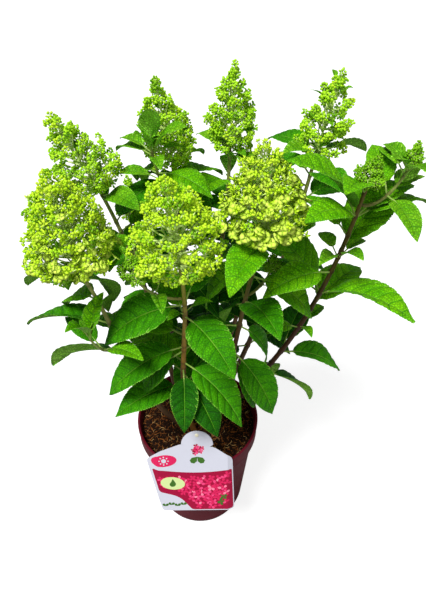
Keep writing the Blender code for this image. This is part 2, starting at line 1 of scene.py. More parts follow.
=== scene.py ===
# %% [markdown]
# # A panicle hydrangea in its pot
#
# The real plant is a young shrub in a grower's pot, with its flower heads just opening. Ten canes rise from
# the potting mix, leaves stand on them in opposite pairs, and most canes end in a cone of small buds on pale
# stalks. The solids already give its frame, so this lesson grows the same plant again and carries it finer:
# veined blades with toothed edges, bark with its nodes, branched flower heads, and fibres in the mix.
# Everything is in metres, and every size is the plant's own.

# %% Load the solids
import math
import random
from collections import namedtuple

import bmesh
import bpy
import numpy as np
from mathutils import Matrix, Vector
from mathutils.bvhtree import BVHTree


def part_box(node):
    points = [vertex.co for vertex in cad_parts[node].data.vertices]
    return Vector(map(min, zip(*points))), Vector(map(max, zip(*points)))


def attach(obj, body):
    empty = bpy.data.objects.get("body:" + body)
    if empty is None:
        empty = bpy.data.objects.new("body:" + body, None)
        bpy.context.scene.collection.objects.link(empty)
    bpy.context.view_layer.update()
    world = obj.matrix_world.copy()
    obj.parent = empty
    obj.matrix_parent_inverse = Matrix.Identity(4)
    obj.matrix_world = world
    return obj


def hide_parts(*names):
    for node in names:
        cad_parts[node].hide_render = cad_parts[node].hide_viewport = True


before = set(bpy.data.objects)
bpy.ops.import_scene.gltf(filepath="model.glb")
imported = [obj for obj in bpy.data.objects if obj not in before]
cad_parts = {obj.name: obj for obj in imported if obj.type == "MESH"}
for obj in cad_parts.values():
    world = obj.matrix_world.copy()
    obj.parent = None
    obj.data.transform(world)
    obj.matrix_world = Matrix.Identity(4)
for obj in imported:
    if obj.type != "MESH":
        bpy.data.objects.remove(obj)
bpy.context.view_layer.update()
MM = 0.001
UP = Vector((0, 0, 1))

# %% [markdown]
# ## Camera, floor and light
#
# The picture looks down on the plant by about 43 degrees from three quarters of a metre above the pot, so
# the pot looks small and the flower heads large. The light is soft and comes mostly from the upper left, and
# a pale world fills the shadows. The floor is a white table that glows for the camera only, so its ground
# turns white while the underside of the plant keeps its shade.

# %% Camera and floor
CAMERA_PLACE = (0.0265, -0.517, 0.943)
CAMERA_PITCH = math.radians(42.8)
CAMERA_ROLL = math.radians(0.7)


def colour(code):
    """An sRGB hex value as the linear colour that a shader socket takes."""
    parts = [int(code[i : i + 2], 16) / 255 for i in (1, 3, 5)]
    return (*(p / 12.92 if p <= 0.04045 else ((p + 0.055) / 1.055) ** 2.4 for p in parts), 1)


def add(tree, kind, inputs=None, **settings):
    """One node with its settings. An input takes a value, or the socket that feeds it."""
    node = tree.nodes.new(kind)
    for name, value in settings.items():
        setattr(node, name, value)
    for name, value in (inputs or {}).items():
        if isinstance(value, bpy.types.NodeSocket):
            tree.links.new(value, node.inputs[name])
        else:
            node.inputs[name].default_value = value
    return node


def principled(name, **sockets):
    """A material of one Principled shader, its tree, and the shader."""
    made = bpy.data.materials.new(name)
    made.use_nodes = True
    shader = made.node_tree.nodes["Principled BSDF"]
    for socket, value in sockets.items():
        shader.inputs[socket.replace("_", " ")].default_value = value
    return made, made.node_tree, shader


scene = bpy.context.scene
lens = bpy.data.cameras.new("camera")
lens.lens, lens.sensor_width = 33, 36
camera = bpy.data.objects.new("camera", lens)
camera.matrix_world = (
    Matrix.Translation(CAMERA_PLACE)
    @ Matrix.Rotation(math.pi / 2 - CAMERA_PITCH, 4, "X")
    @ Matrix.Rotation(-CAMERA_ROLL, 4, "Z")
)
scene.collection.objects.link(camera)
scene.camera = camera
scene.view_settings.view_transform = "Standard"

floor_paint, tree, shader = principled(
    "lit white acrylic table",
    Base_Color=colour("#a0a0a0"),
    Roughness=0.9,
    Emission_Color=(1, 1, 1, 1),
)
seen = add(tree, "ShaderNodeLightPath").outputs["Is Camera Ray"]
glow = add(tree, "ShaderNodeMath", {0: seen, 1: 0.8}, operation="MULTIPLY")
tree.links.new(glow.outputs["Value"], shader.inputs["Emission Strength"])
floor_mesh = bpy.data.meshes.new("floor")
floor_mesh.from_pydata([(-4, -4, 0), (4, -4, 0), (4, 4, 0), (-4, 4, 0)], [], [(0, 1, 2, 3)])
floor_mesh.materials.append(floor_paint)
floor = bpy.data.objects.new("floor", floor_mesh)
scene.collection.objects.link(floor)
print(f"camera {CAMERA_PLACE[2]} m up, looking down {math.degrees(CAMERA_PITCH):.0f} degrees")

# %% Light
world = bpy.data.worlds.new("pale room")
scene.world = world
world.use_nodes = True
world.node_tree.nodes["Background"].inputs["Color"].default_value = (1, 1, 1, 1)
world.node_tree.nodes["Background"].inputs["Strength"].default_value = 0.24


def soft_light(name, kind, place, strength, **settings):
    """A light that looks at the middle of the plant."""
    lamp = bpy.data.lights.new(name, kind)
    lamp.energy = strength
    for setting, value in settings.items():
        setattr(lamp, setting, value)
    made = bpy.data.objects.new(name, lamp)
    way = Vector((0, 0, 0.4)) - Vector(place)
    made.matrix_world = Matrix.Translation(place) @ way.to_track_quat("-Z", "Y").to_matrix().to_4x4()
    scene.collection.objects.link(made)


soft_light("key", "SUN", (-0.55, -0.6, 2.0), 3.9, angle=math.radians(20))
soft_light("fill", "AREA", (1.1, -1.2, 1.2), 5, shape="DISK", size=1.0)
print("a broad key light at the upper left, a fill at the right, and a pale room")

# %% [markdown]
# ## The plant's sizes
#
# A shrub can't be drawn leaf by leaf, so it is described by a few sizes for each cane, shoot and flower
# head, and functions grow it. The leaves that show best are set one by one. The rest fill the nodes in
# opposite pairs, each pair turned a quarter from the last, and look for room among those already there. It
# is the rule that made the solids, written again, so each fine leaf lies where its solid one is.

# %% Sizes
GAP = 0.3 * MM  # between solids that rest on each other

# The pot, the mix in it, and the care label leaning on its rim
POT_HEIGHT = 215 * MM
RIM_RADIUS = 95 * MM
BASE_RADIUS = 73 * MM
LIP_HEIGHT = 30 * MM
LIP_STEP = 3.5 * MM
WALL = 2 * MM
MIX_DROP = 15 * MM
MIX_LEVEL = POT_HEIGHT - MIX_DROP
# The card's corners in its own plane in mm, counted from the rim's level, with a radius each, and its nose
LABEL_SIDES = (
    (-17, 45, 4),
    (-50, 32, 6),
    (-68, 15, 5),
    (-46, -71, 5),
    (61, -71, 5),
    (58, 20, 7),
    (31, 40, 6),
)
NOSE_MIDDLE = 7 * MM
NOSE_LEVEL = 44 * MM
NOSE_RADIUS = 23 * MM
LABEL_FOLD = 51 * MM
LABEL_THICKNESS = 1.2 * MM
LABEL_TILT = math.radians(23)
LABEL_SHIFT = -6 * MM
STAKE_WIDTH = 7 * MM

# Stems, with how much wider a cane is at its foot
CANE_RADIUS = 4.4 * MM
TIP_RADIUS = 2.1 * MM
FOOT_FLARE = 1.35
SHOOT_SIDES = 5

# Leaves
PETIOLE = 12 * MM
PETIOLE_RADIUS = 1.1 * MM
LEAF_SHARE = 0.57  # width over length
LEAF_THICKNESS = 0.02  # at the midrib, as a share of the length
LEAF_FOLD = math.radians(16)
LEAF_BEND = math.radians(52)
LEAF_STATIONS = (0.25, 0.66)
LEAF_CLEARANCE = 2.5 * MM
STALK_CLEARANCE = 1.8 * MM
SMALL_LEAF = 35  # mm; a shorter one has no partner and takes no node
NODE_STEP = 0.045  # the least share of a cane between two nodes
SEED = 11
print(f"the pot is {1000 * POT_HEIGHT:.0f} mm tall and {2000 * RIM_RADIUS:.0f} mm wide at the rim")

# %% Canes, side shoots and flower heads
Cane = namedtuple("Cane", "foot foot_lean top top_lean bare pairs turn leaf front")
CANES = {
    # foot and top in mm, leans as run over rise, the share with no leaves, pairs, first bearing, leaf length
    # in mm, and how far round from the front, in degrees, only leaves that are set one by one grow
    "front": Cane((-4, -22), (-0.26, -0.03), (-9, -57, 567), (-0.09, -0.20), 0.30, 6, -20, 100, 100),
    "front_right": Cane((12, -17), (0.39, 0.05), (83, -41, 588), (0.23, -0.21), 0.30, 6, -60, 96, 100),
    "right": Cane((24, -3), (0.76, 0.12), (184, -30, 647), (0.17, 0.12), 0.29, 7, -15, 100, 100),
    "right_back": Cane((24, 10), (0.34, 0.02), (152, 80, 630), (0.16, 0.12), 0.32, 6, 30, 88, 40),
    "back": Cane((4, 13), (0.06, 0.26), (50, 118, 615), (0.02, 0.10), 0.32, 6, 60, 88, 30),
    "middle": Cane((-11, 12), (0.02, 0.16), (-20, 80, 618), (-0.02, 0.10), 0.36, 6, 165, 84, 30),
    "left_back": Cane((-24, 6), (-0.12, 0.10), (-106, 50, 596), (-0.36, 0.04), 0.30, 6, 120, 88, 60),
    "left": Cane((-21, -11), (-0.72, -0.08), (-119, -49, 552), (-0.31, -0.02), 0.28, 6, 180, 96, 100),
    "low_left": Cane((-6, 27), (-0.24, 0.40), (-78, 142, 492), (-0.18, 0.18), 0.30, 5, 100, 96, 0),
    "low_right": Cane((14, 23), (0.30, 0.36), (104, 148, 500), (0.18, 0.20), 0.30, 5, 75, 96, 0),
}

# Short shoots from a cane's side: cane, share of its height, bearing, run and rise in mm, leaf pairs, and
# leaf length in mm
Side = namedtuple("Side", "cane share bearing run rise pairs leaf")
SIDES = {
    "middle_side": Side("middle", 0.925, -120, 38, 66, 2, 42),
    "front_side": Side("front", 0.845, -172, 50, 40, 1, 40),
    "front_right_side": Side("front_right", 0.755, 35, 34, 24, 1, 44),
    "right_side": Side("right", 0.955, 0, 40, 47, 2, 40),
    "back_side": Side("back", 0.74, 40, 46, 62, 2, 60),
    "left_back_side": Side("left_back", 0.72, 100, 44, 56, 2, 60),
    "left_side": Side("left", 0.66, -125, 40, 46, 2, 56),
}

# Cones of buds, by the shoot that carries each: height and width in mm, lean as run over rise, tiers of
# sprays, and sprays round the lowest tier
Panicle = namedtuple("Panicle", "height width lean tiers round")
PANICLES = {
    "front": Panicle(112, 126, (-0.08, 0.0), 5, 5),
    "front_right": Panicle(118, 108, (-0.06, 0.0), 5, 5),
    "right": Panicle(34, 40, (0.2, 0.0), 2, 3),
    "right_back": Panicle(96, 80, (0.18, 0.0), 4, 4),
    "back": Panicle(106, 76, (0.05, 0.03), 5, 4),
    "middle": Panicle(102, 82, (-0.14, 0.0), 5, 4),
    "left_back": Panicle(106, 96, (-0.42, 0.0), 5, 5),
    "left": Panicle(130, 118, (-0.12, 0.0), 5, 5),
    "low_left": Panicle(66, 58, (-0.2, 0.2), 3, 3),
    "low_right": Panicle(62, 54, (0.2, 0.2), 3, 3),
    "front_side": Panicle(28, 44, (-0.1, -0.1), 2, 3),
    "front_right_side": Panicle(22, 32, (0.1, 0.0), 2, 3),
    "right_side": Panicle(22, 26, (0.1, 0.0), 2, 3),
    "back_side": Panicle(26, 34, (0.1, 0.1), 2, 3),
}
TALL_HEAD = 60 * MM  # a higher head has a thicker axis and more bracts
print(f"{len(CANES)} canes, {len(SIDES)} side shoots, {len(PANICLES)} flower heads")

# %% Leaves set one by one
# Leaves set one by one, those that show best from the front: share of the cane's height, bearing, droop,
# length in mm, and how many degrees the face of one that points sideways is turned to the front
SET_LEAVES = {
    "front": (
        (0.355, -149, -4, 94, 12),
        (0.432, -59, -34, 88, 8),
        (0.458, -86, -36, 76, 8),
        (0.495, -35, -36, 107, 0),
        (0.565, -156, -74, 82, 0),
        (0.588, -164, -28, 107, 6),
        (0.650, 174, -18, 115, 4),
        (0.755, -55, -13, 94, 10),
        (0.765, -119, 20, 28, 8),
        (0.775, -12, 25, 29, 8),
        (0.815, -177, -30, 103, 26),
        (0.955, 150, -34, 91, 16),
    ),
    "front_right": (
        (0.455, -40, -69, 84, 8),
        (0.478, -39, -56, 102, 0),
        (0.613, 1, -74, 79, 8),
        (0.720, 131, -64, 60, 8),
        (0.728, -70, 12, 89, 8),
        (0.848, 17, -40, 95, 10),
        (0.897, 166, -58, 95, 10),
        (0.985, -140, 0, 87, 8),
    ),
    "right": (
        (0.315, -1, -46, 89, -32),
        (0.367, 79, -80, 51, 8),
        (0.427, 4, -32, 90, -6),
        (0.435, 65, 4, 79, 8),
        (0.547, -151, 10, 42, 8),
        (0.552, -73, 27, 26, 8),
        (0.628, 43, -1, 95, 8),
        (0.690, -37, 18, 115, -8),
        (0.690, 150, 35, 108, 4),
        (0.810, -129, 15, 40, 8),
        (0.810, -70, 40, 40, 8),
        (0.828, 44, 18, 104, 12),
        (0.925, -170, 45, 103, -4),
        (0.925, 23, -16, 99, -22),
        (0.927, -144, 28, 72, 8),
        (0.985, -148, 26, 66, 4),
    ),
    "right_back": (
        (0.930, -72, 9, 75, 0),
        (0.985, -146, 28, 46, 8),
        (0.985, 29, -9, 70, -34),
        (0.985, 130, -10, 71, 8),
    ),
    "back": (
        (0.893, -118, 10, 79, 0),
        (0.985, -64, 42, 42, 8),
        (0.985, 92, -63, 47, 8),
        (0.985, 133, 11, 52, 8),
    ),
    "middle": (
        (0.925, 131, -40, 62, 8),
        (0.948, 43, -23, 77, -6),
        (0.985, 54, -16, 56, -10),
    ),
    "left_back": (
        (0.855, -93, -5, 68, 8),
        (0.890, 76, -32, 60, 8),
        (0.985, -98, 32, 44, 8),
        (0.985, -44, 2, 57, 20),
    ),
    "left": (
        (0.608, 168, -25, 106, -42),
        (0.768, 169, -14, 107, -22),
        (0.820, 126, -75, 61, 8),
        (0.860, 133, -55, 66, 8),
        (0.883, 142, -46, 78, 6),
        (0.950, 134, -42, 56, -8),
        (0.968, 157, -19, 87, -38),
        (0.975, 70, -73, 82, 8),
    ),
    "middle_side": (
        (0.560, 114, -55, 57, 8),
        (0.608, 150, -12, 73, 6),
        (0.858, -76, 4, 34, 8),
        (0.905, -25, 39, 52, 12),
        (0.948, -118, 41, 36, 8),
        (0.948, -79, 64, 50, 8),
    ),
    "right_side": (
        (0.443, 106, 18, 60, 8),
        (0.503, -148, 74, 61, 8),
        (0.807, -81, 26, 42, 8),
        (0.873, -113, 55, 44, 8),
        (0.890, -85, 42, 42, 8),
    ),
}

# How a leaf may turn and rise, in degrees, and shrink to find room, tried in this order
TRIES = (
    (0, 0, 1),
    (5, 0, 1),
    (-5, 0, 1),
    (0, 5, 1),
    (0, -5, 1),
    (6, 6, 1),
    (-6, 6, 1),
    (10, -4, 1),
    (-10, -4, 1),
    (0, 12, 1),
    (0, -14, 1),
    (16, 6, 1),
    (-16, 6, 1),
    (24, -4, 0.95),
    (-24, -4, 0.95),
    (36, 0, 0.9),
    (-36, 0, 0.9),
    (0, 26, 0.9),
    (26, -26, 0.8),
    (-26, -26, 0.8),
    (50, 10, 0.8),
    (-50, 10, 0.8),
    (0, -34, 0.7),
    (0, 40, 0.7),
)
print(f"{sum(map(len, SET_LEAVES.values()))} leaves are set one by one")

# %% [markdown]
# ## Stems and leaves as curves
#
# A stem is a cubic curve that leaves the soil in one direction and arrives at its tip in another, so four
# numbers bend a cane. A leaf's midrib is an arc that starts at a rise and bends down by a fixed angle. Both
# can be asked for a point and a direction at any share of their length, and every later piece is laid along
# them. A coarse shape of each is enough to find out what touches what.

# %% Stems
def heading(bearing, rise):
    """A unit vector from a compass bearing, counted from +X towards +Y, and an angle above the horizon."""
    turn, lift = math.radians(bearing), math.radians(rise)
    return Vector((math.cos(turn) * math.cos(lift), math.sin(turn) * math.cos(lift), math.sin(lift)))


def lean_heading(lean):
    """A unit vector that climbs with a run over rise along X and along Y."""
    return Vector((lean[0], lean[1], 1)).normalized()


class Stem:
    """A smooth curve from foot to top that leaves and arrives in given directions, and tapers."""

    def __init__(self, foot, foot_way, top, top_way, foot_radius, top_radius):
        self.foot, self.top = Vector(foot), Vector(top)
        self.length = (self.top - self.foot).length
        self.foot_way, self.top_way = foot_way * self.length, top_way * self.length
        self.foot_radius, self.top_radius = foot_radius, top_radius

    def at(self, share):
        s2, s3 = share * share, share**3
        return (
            self.foot * (2 * s3 - 3 * s2 + 1)
            + self.foot_way * (s3 - 2 * s2 + share)
            + self.top * (3 * s2 - 2 * s3)
            + self.top_way * (s3 - s2)
        )

    def way(self, share, step=0.01):
        if share == 0:
            return self.foot_way.normalized()
        low, high = max(0.0, share - step), min(1.0, share + step)
        return (self.at(high) - self.at(low)).normalized()

    def radius(self, share):
        return self.foot_radius + (self.top_radius - self.foot_radius) * share


def cane_stem(cane):
    """The curve of a cane, from just over the mix."""
    foot = Vector((cane.foot[0] * MM, cane.foot[1] * MM, MIX_LEVEL + GAP))
    top = Vector(cane.top) * MM
    return Stem(foot, lean_heading(cane.foot_lean), top, lean_heading(cane.top_lean), CANE_RADIUS, TIP_RADIUS)


def side_stem(side, parent):
    """The curve of a side shoot, which leaves its cane square to it and then climbs."""
    out = heading(side.bearing, 0)
    way = parent.way(side.share)
    out = (out - way * out.dot(way)).normalized()
    radius = TIP_RADIUS * 0.9
    foot = parent.at(side.share) + out * (parent.radius(side.share) + GAP)
    top = foot + heading(side.bearing, 0) * side.run * MM + UP * side.rise * MM
    return Stem(foot, out, top, (out * 0.25 + UP).normalized(), radius, radius * 0.7)


def square_to(way, near=UP):
    """Two unit vectors square to a direction, the second as close to near as it can be."""
    side = way.cross(near)
    if side.length < 1e-4:
        side = way.cross(Vector((1, 0, 0)))
    side.normalize()
    return side, side.cross(way).normalized()


def rings_to_faces(rings, sides, tip=False):
    """Faces over rings of points in order, with a cap at the start and a cap or a point at the end."""
    faces = [tuple(reversed(range(sides)))]
    for ring in range(rings - 1):
        for i in range(sides):
            a, b = ring * sides + i, ring * sides + (i + 1) % sides
            faces.append((a, b, b + sides, a + sides))
    last = (rings - 1) * sides
    if tip:
        faces += [(last + i, last + (i + 1) % sides, last + sides) for i in range(sides)]
    else:
        faces.append(tuple(last + i for i in range(sides)))
    return faces


def stem_shape(stem, low, high, sides, rings):
    """A tapering tube along part of a stem."""
    points = []
    for k in range(rings):
        share = low + (high - low) * k / (rings - 1)
        way, radius = stem.way(share), stem.radius(share)
        across, over = square_to(way, Vector((0, 1, 0)))
        for i in range(sides):
            turn = 2 * math.pi * i / sides
            points.append(stem.at(share) + (across * math.cos(turn) - over * math.sin(turn)) * radius)
    return points, rings_to_faces(rings, sides)


print(f"a cane is {1000 * cane_stem(CANES['front']).length:.0f} mm long")

# %% Leaves
def leaf_width(share):
    """Half the blade's width along its length, as a share of its widest: broad low down, with a drawn tip."""
    return math.sin(math.pi * share**0.8) ** 0.85 * (1 - 0.18 * share)


class Leaf:
    """A blade on its stalk: it leaves the stem, arches over and hangs its tip, folded along the midrib."""

    def __init__(self, root, stem_radius, bearing, droop, length, roll):
        self.root, self.bearing, self.length, self.roll = root, bearing, length, roll
        self.first_rise = math.radians(droop) + LEAF_BEND / 2
        self.base = root + heading(bearing, math.degrees(self.first_rise)) * (stem_radius + PETIOLE)

    def spine(self, share):
        """The point on the midrib at a share of the blade's length, and the direction there."""
        steps = 12
        place = self.base.copy()
        for k in range(steps):
            rise = self.first_rise - LEAF_BEND * share * (k + 0.5) / steps
            place += heading(self.bearing, math.degrees(rise)) * self.length * share / steps
        end_rise = self.first_rise - LEAF_BEND * share
        return place, heading(self.bearing, math.degrees(end_rise))

    def frame(self, share):
        """The midrib's point, its direction, and unit vectors to the left edge and out of the upper face."""
        place, way = self.spine(share)
        left = UP.cross(heading(self.bearing, 0))
        left = Matrix.Rotation(self.roll, 3, way) @ left
        return place, way, left, way.cross(left)


def leaf_shape(leaf, with_stalk=True):
    """A closed thin blade, ridged under the midrib. With its stalk it starts on the stem's middle line."""
    points = []
    thick = leaf.length * LEAF_THICKNESS / 2
    _, _, left, face = leaf.frame(0)
    stations = [(leaf.root, left, face, PETIOLE_RADIUS, PETIOLE_RADIUS, 0.0)] if with_stalk else []
    stations.append((leaf.base, left, face, PETIOLE_RADIUS * 1.3, PETIOLE_RADIUS, 0.0))
    for share in LEAF_STATIONS:
        place, _, left, face = leaf.frame(share)
        half = leaf.length * LEAF_SHARE / 2 * leaf_width(share)
        stations.append((place, left, face, half, thick, LEAF_FOLD))
    for place, left, face, half, rib, fold in stations:
        out, lift = half * math.cos(fold), half * math.sin(fold)
        points += [
            place + left * out + face * lift,
            place + face * rib,
            place - left * out + face * lift,
            place - face * rib,
        ]
    points.append(leaf.spine(1.0)[0])
    faces = rings_to_faces(len(stations), 4, tip=True)
    return points, [tuple(reversed(face)) for face in faces]


def panicle_width(share):
    """Half the cone's width up its height, as a share of its widest."""
    return min(1.0, 0.55 + 1.6 * share) * (1 - share) ** 0.72 * 1.2


def outward(shape):
    """The same shape in triangles, with its faces pointing out."""
    points, faces = shape
    bm = bmesh.new()
    verts = [bm.verts.new(p) for p in points]
    for face in faces:
        bm.faces.new([verts[i] for i in face])
    bm.verts.index_update()
    bmesh.ops.recalc_face_normals(bm, faces=bm.faces)
    bmesh.ops.triangulate(bm, faces=bm.faces)
    made = [v.co.copy() for v in bm.verts], [tuple(v.index for v in f.verts) for f in bm.faces]
    bm.free()
    return made


print(f"a blade is widest at {max(range(100), key=lambda k: leaf_width(k / 100))} % of its length")

# %% [markdown]
# ## Finding room for the leaves
#
# On a real plant no leaf passes through another. A leaf is tried where its rule puts it, and where it would
# touch something it is turned, raised or shortened a little, and at last left out. A BVH tree answers
# quickly whether two surfaces meet and how near the nearest one is.

# %% Rules for the leaves
class Room:
    """Everything placed so far, to keep a new leaf clear of it."""

    def __init__(self):
        self.points, self.faces, self.owners, self.tree = [], [], [], None

    def add(self, shape, owner):
        points, faces = shape
        first = len(self.points)
        self.points += points
        self.faces += [tuple(first + i for i in face) for face in faces]
        self.owners += [owner] * len(faces)
        self.tree = None

    def owners_near(self, place, distance):
        return {self.owners[index] for _, _, index, _ in self.tree.find_nearest_range(place, distance)}

    def free_for(self, leaf, owner):
        if self.tree is None:
            self.tree = BVHTree.FromPolygons(self.points, self.faces)
        points, faces = leaf_shape(leaf, with_stalk=False)
        if self.tree.overlap(BVHTree.FromPolygons(points, faces)):
            return False
        rows = [points[k : k + 4] for k in range(0, len(points) - 1, 4)] + [[points[-1]] * 4]
        probes = list(points)
        for near, far in zip(rows, rows[1:]):
            probes += [(a + b) / 2 for a, b in zip(near, far)]
        if any(self.tree.find_nearest(p, LEAF_CLEARANCE)[0] for p in probes):
            return False
        for share in (0.15, 0.3, 0.5, 0.7, 0.85):
            near = self.owners_near(leaf.root.lerp(leaf.base, share), STALK_CLEARANCE)
            if near - {owner} if share < 0.5 else near:
                return False
        return True


def shoot_plan():
    """Every leafy shoot: name, its stem, where its leaves start, its pairs, first bearing and leaf length."""
    stems = {name: cane_stem(cane) for name, cane in CANES.items()}
    plan = [(name, stems[name], cane.bare, cane.pairs, cane.turn, cane.leaf) for name, cane in CANES.items()]
    for name, side in SIDES.items():
        stem = side_stem(side, stems[side.cane])
        plan.append((name, stem, 0.45, side.pairs, side.bearing + 90, side.leaf))
    return plan


def faces_front(name, bearing):
    """Whether a leaf points to the part of the front that is left to the leaves set one by one."""
    return name in CANES and abs((bearing + 90 + 180) % 360 - 180) < CANES[name].front


def set_choices(name, dice):
    """The leaves set one by one, then for each long one a partner on the other side of its node."""
    rows = SET_LEAVES.get(name, ())
    for number, (share, bearing, droop, length, face) in enumerate(rows):
        roll = math.radians(face) * math.cos(math.radians(bearing))
        yield ("set", number), share, bearing, droop, length * MM, roll
    for number, (share, bearing, _, length, _) in enumerate(rows):
        opposite = bearing + 180 + dice.uniform(-14, 14)
        if length > SMALL_LEAF and not faces_front(name, opposite):
            yield ("partner", number), share, opposite, -12 + dice.uniform(-12, 8), length * 0.94 * MM, 0.0


def filling_choices(name, low, pairs, turn, length, dice):
    """Opposite pairs up the shoot, each turned a quarter from the last, between the leaves set one by one."""
    taken = [row[0] for row in SET_LEAVES.get(name, ()) if row[3] > SMALL_LEAF]
    side_shoot = name in SIDES
    for pair in range(pairs):
        level = pair / max(1, pairs - 1)
        share = low + 0.03 + (0.955 - low) * level
        for which in (0, 1):
            bearing = turn + 90 * pair + 180 * which + dice.uniform(-12, 12)
            droop = (8 + 40 * level if side_shoot else -26 + 24 * level) + dice.uniform(-8, 8)
            size = length * (1.04 - 0.2 * level**2) * dice.uniform(0.92, 1.05)
            roll = math.radians(dice.uniform(-14, 14))
            if faces_front(name, bearing):
                continue
            if all(abs(share - other) > NODE_STEP for other in taken):
                yield ("pair", pair, which), share, bearing, droop, size * MM, roll


def place_leaves(room):
    """A leaf for each choice that finds room, those set one by one first, turned or shortened as needed."""
    dice = random.Random(SEED)
    plan = shoot_plan()
    wanted = []
    for name, stem, *_ in plan:
        wanted += [(name, stem, choice) for choice in set_choices(name, dice)]
    wanted.sort(key=lambda item: item[2][0][0] != "set")
    for name, stem, low, pairs, turn, length in plan:
        wanted += [(name, stem, choice) for choice in filling_choices(name, low, pairs, turn, length, dice)]
    placed = {}
    for name, stem, (key, share, bearing, droop, size, roll) in wanted:
        for turn, lift, scale in TRIES:
            leaf = Leaf(stem.at(share), stem.radius(share), bearing + turn, droop + lift, size * scale, roll)
            if room.free_for(leaf, name):
                placed[(name, *key)] = leaf
                room.add(leaf_shape(leaf), name)
                break
    print(f"{len(placed)} leaves of {len(wanted)} found room")
    return placed


print("each leaf looks for room among those before it")

# %% Place the leaves
def solid_of(name):
    """A solid of the frame as points and faces."""
    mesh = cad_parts[name].data
    return [v.co.copy() for v in mesh.vertices], [tuple(p.vertices) for p in mesh.polygons]


STEMS = {name: (stem, low) for name, stem, low, *_ in shoot_plan()}
room = Room()
for name in ("pot", "potting_mix", "label", "label_stake"):
    room.add(solid_of(name), name)
for name, (stem, low) in STEMS.items():
    if name in CANES:
        room.add(solid_of(f"cane_{name}"), name)
        room.add(outward(stem_shape(stem, low, 1, SHOOT_SIDES, 8)), name)
    else:
        room.add(outward(stem_shape(stem, 0, 1, SHOOT_SIDES, 4)), name)
for name in PANICLES:
    room.add(solid_of(f"panicle_{name}"), f"panicle {name}")
LEAVES = place_leaves(room)

# %% [markdown]
# ## Joining many small pieces
#
# Thousands of leaves, stalks and buds as objects of their own would be slow and hard to keep. So each kind is
# gathered as arrays of points and faces in one heap, and the heap becomes one mesh. A tube along a path is
# the piece that comes back most often: it makes canes, leaf stalks and flower stalks alike.

# %% Heaps and tubes
class Heap:
    """Points, faces and a material number for each face, gathered for one mesh."""

    def __init__(self):
        self.points, self.faces, self.slots, self.count = [], [], [], 0

    def add(self, points, faces, slots=0):
        self.points.append(np.asarray(points, float))
        self.faces += [tuple(i + self.count for i in face) for face in faces]
        self.slots += slots if isinstance(slots, list) else [slots] * len(faces)
        self.count += len(points)

    def mesh(self, name, finishes, sharp=None):
        made = bpy.data.meshes.new(name)
        used = np.zeros(self.count, bool)
        used[[i for face in self.faces for i in face]] = True
        place = np.cumsum(used) - 1
        points = np.concatenate(self.points)[used]
        made.from_pydata(points.tolist(), [], [tuple(place[i] for i in face) for face in self.faces])
        for finish in finishes:
            made.materials.append(finish)
        made.polygons.foreach_set("material_index", self.slots)
        made.shade_smooth()
        if sharp:
            made.set_sharp_from_angle(angle=math.radians(sharp))
        return made


def piece(name, mesh, nodes=()):
    """An object of the part, made from a finished mesh."""
    made = bpy.data.objects.new(name, mesh)
    scene.collection.objects.link(made)
    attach(made, "root")
    if nodes:
        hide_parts(*nodes)
    triangles = sum(len(p.vertices) - 2 for p in mesh.polygons)
    print(f"{name}: {triangles} triangles")
    return made


def lone_mesh(name, shape, finishes=(), sharp=None):
    """A mesh of one shape, given as its points and faces."""
    heap = Heap()
    heap.add(*shape)
    return heap.mesh(name, finishes, sharp)


def unit(rows):
    """Each row as a vector with a length of 1."""
    return rows / np.maximum(np.linalg.norm(rows, axis=-1, keepdims=True), 1e-9)


def circles(ways, near, sides):
    """Points of a circle with a radius of 1 square to each way, counted from the side that near gives."""
    across = unit(np.cross(ways, near))
    over = np.cross(ways, across)
    turns = np.arange(sides) * 2 * math.pi / sides
    return across[:, None] * np.cos(turns)[None, :, None] + over[:, None] * np.sin(turns)[None, :, None]


def tube(path, radii, sides):
    """Points and faces of a closed tube along a path. radii has a value for each ring, or for each point."""
    path = np.asarray(path, float)
    ways = unit(np.gradient(path, axis=0))
    near = np.array([0.15, 1.0, 0.1]) if abs(ways[0][1]) < 0.9 else np.array([1.0, 0.1, 0.1])
    radii = np.asarray(radii, float)
    radii = radii[:, None, None] if radii.ndim == 1 else radii[:, :, None]
    points = path[:, None] + circles(ways, near, sides) * radii
    return points.reshape(-1, 3), rings_to_faces(len(path), sides)


print("heaps join pieces of one kind, and tubes follow paths")

# %% [markdown]
# ## Leaf finishes
#
# A hydrangea leaf is softly rough above and paler below, and its underside is lighter still with painted
# light shining through it. Whole leaves are dealt one of four greens: a young green, and three that paint
# sunlight, open shade and deep shade on grown leaves. Each green wanders a little, and the net of the
# smallest veins lies in it as relief, with painted shade in its lines and a painted highlight between them.
# The stalk and the midrib are yellow-green. The midrib and the side veins are in the mesh, with finishes of
# their own;
# the side veins' finish is painted shade in their furrows.

# %% Leaf finishes
def emboss(tree, shader, height, distance, strength):
    """Relief from a height between 0 and 1, which is that deep."""
    bump = add(tree, "ShaderNodeBump", {"Height": height, "Distance": distance, "Strength": strength})
    tree.links.new(bump.outputs["Normal"], shader.inputs["Normal"])


def mapped(tree, value, before, after):
    """A value brought from one range to another."""
    ends = {"From Min": before[0], "From Max": before[1], "To Min": after[0], "To Max": after[1]}
    return add(tree, "ShaderNodeMapRange", {"Value": value, **ends}).outputs["Result"]


def tinted(tree, shader, hue, tint):
    """The base colour is the hue, lighter or darker by a factor."""
    scaled = add(tree, "ShaderNodeVectorMath", {0: hue, "Scale": tint}, operation="SCALE")
    tree.links.new(scaled.outputs["Vector"], shader.inputs["Base Color"])


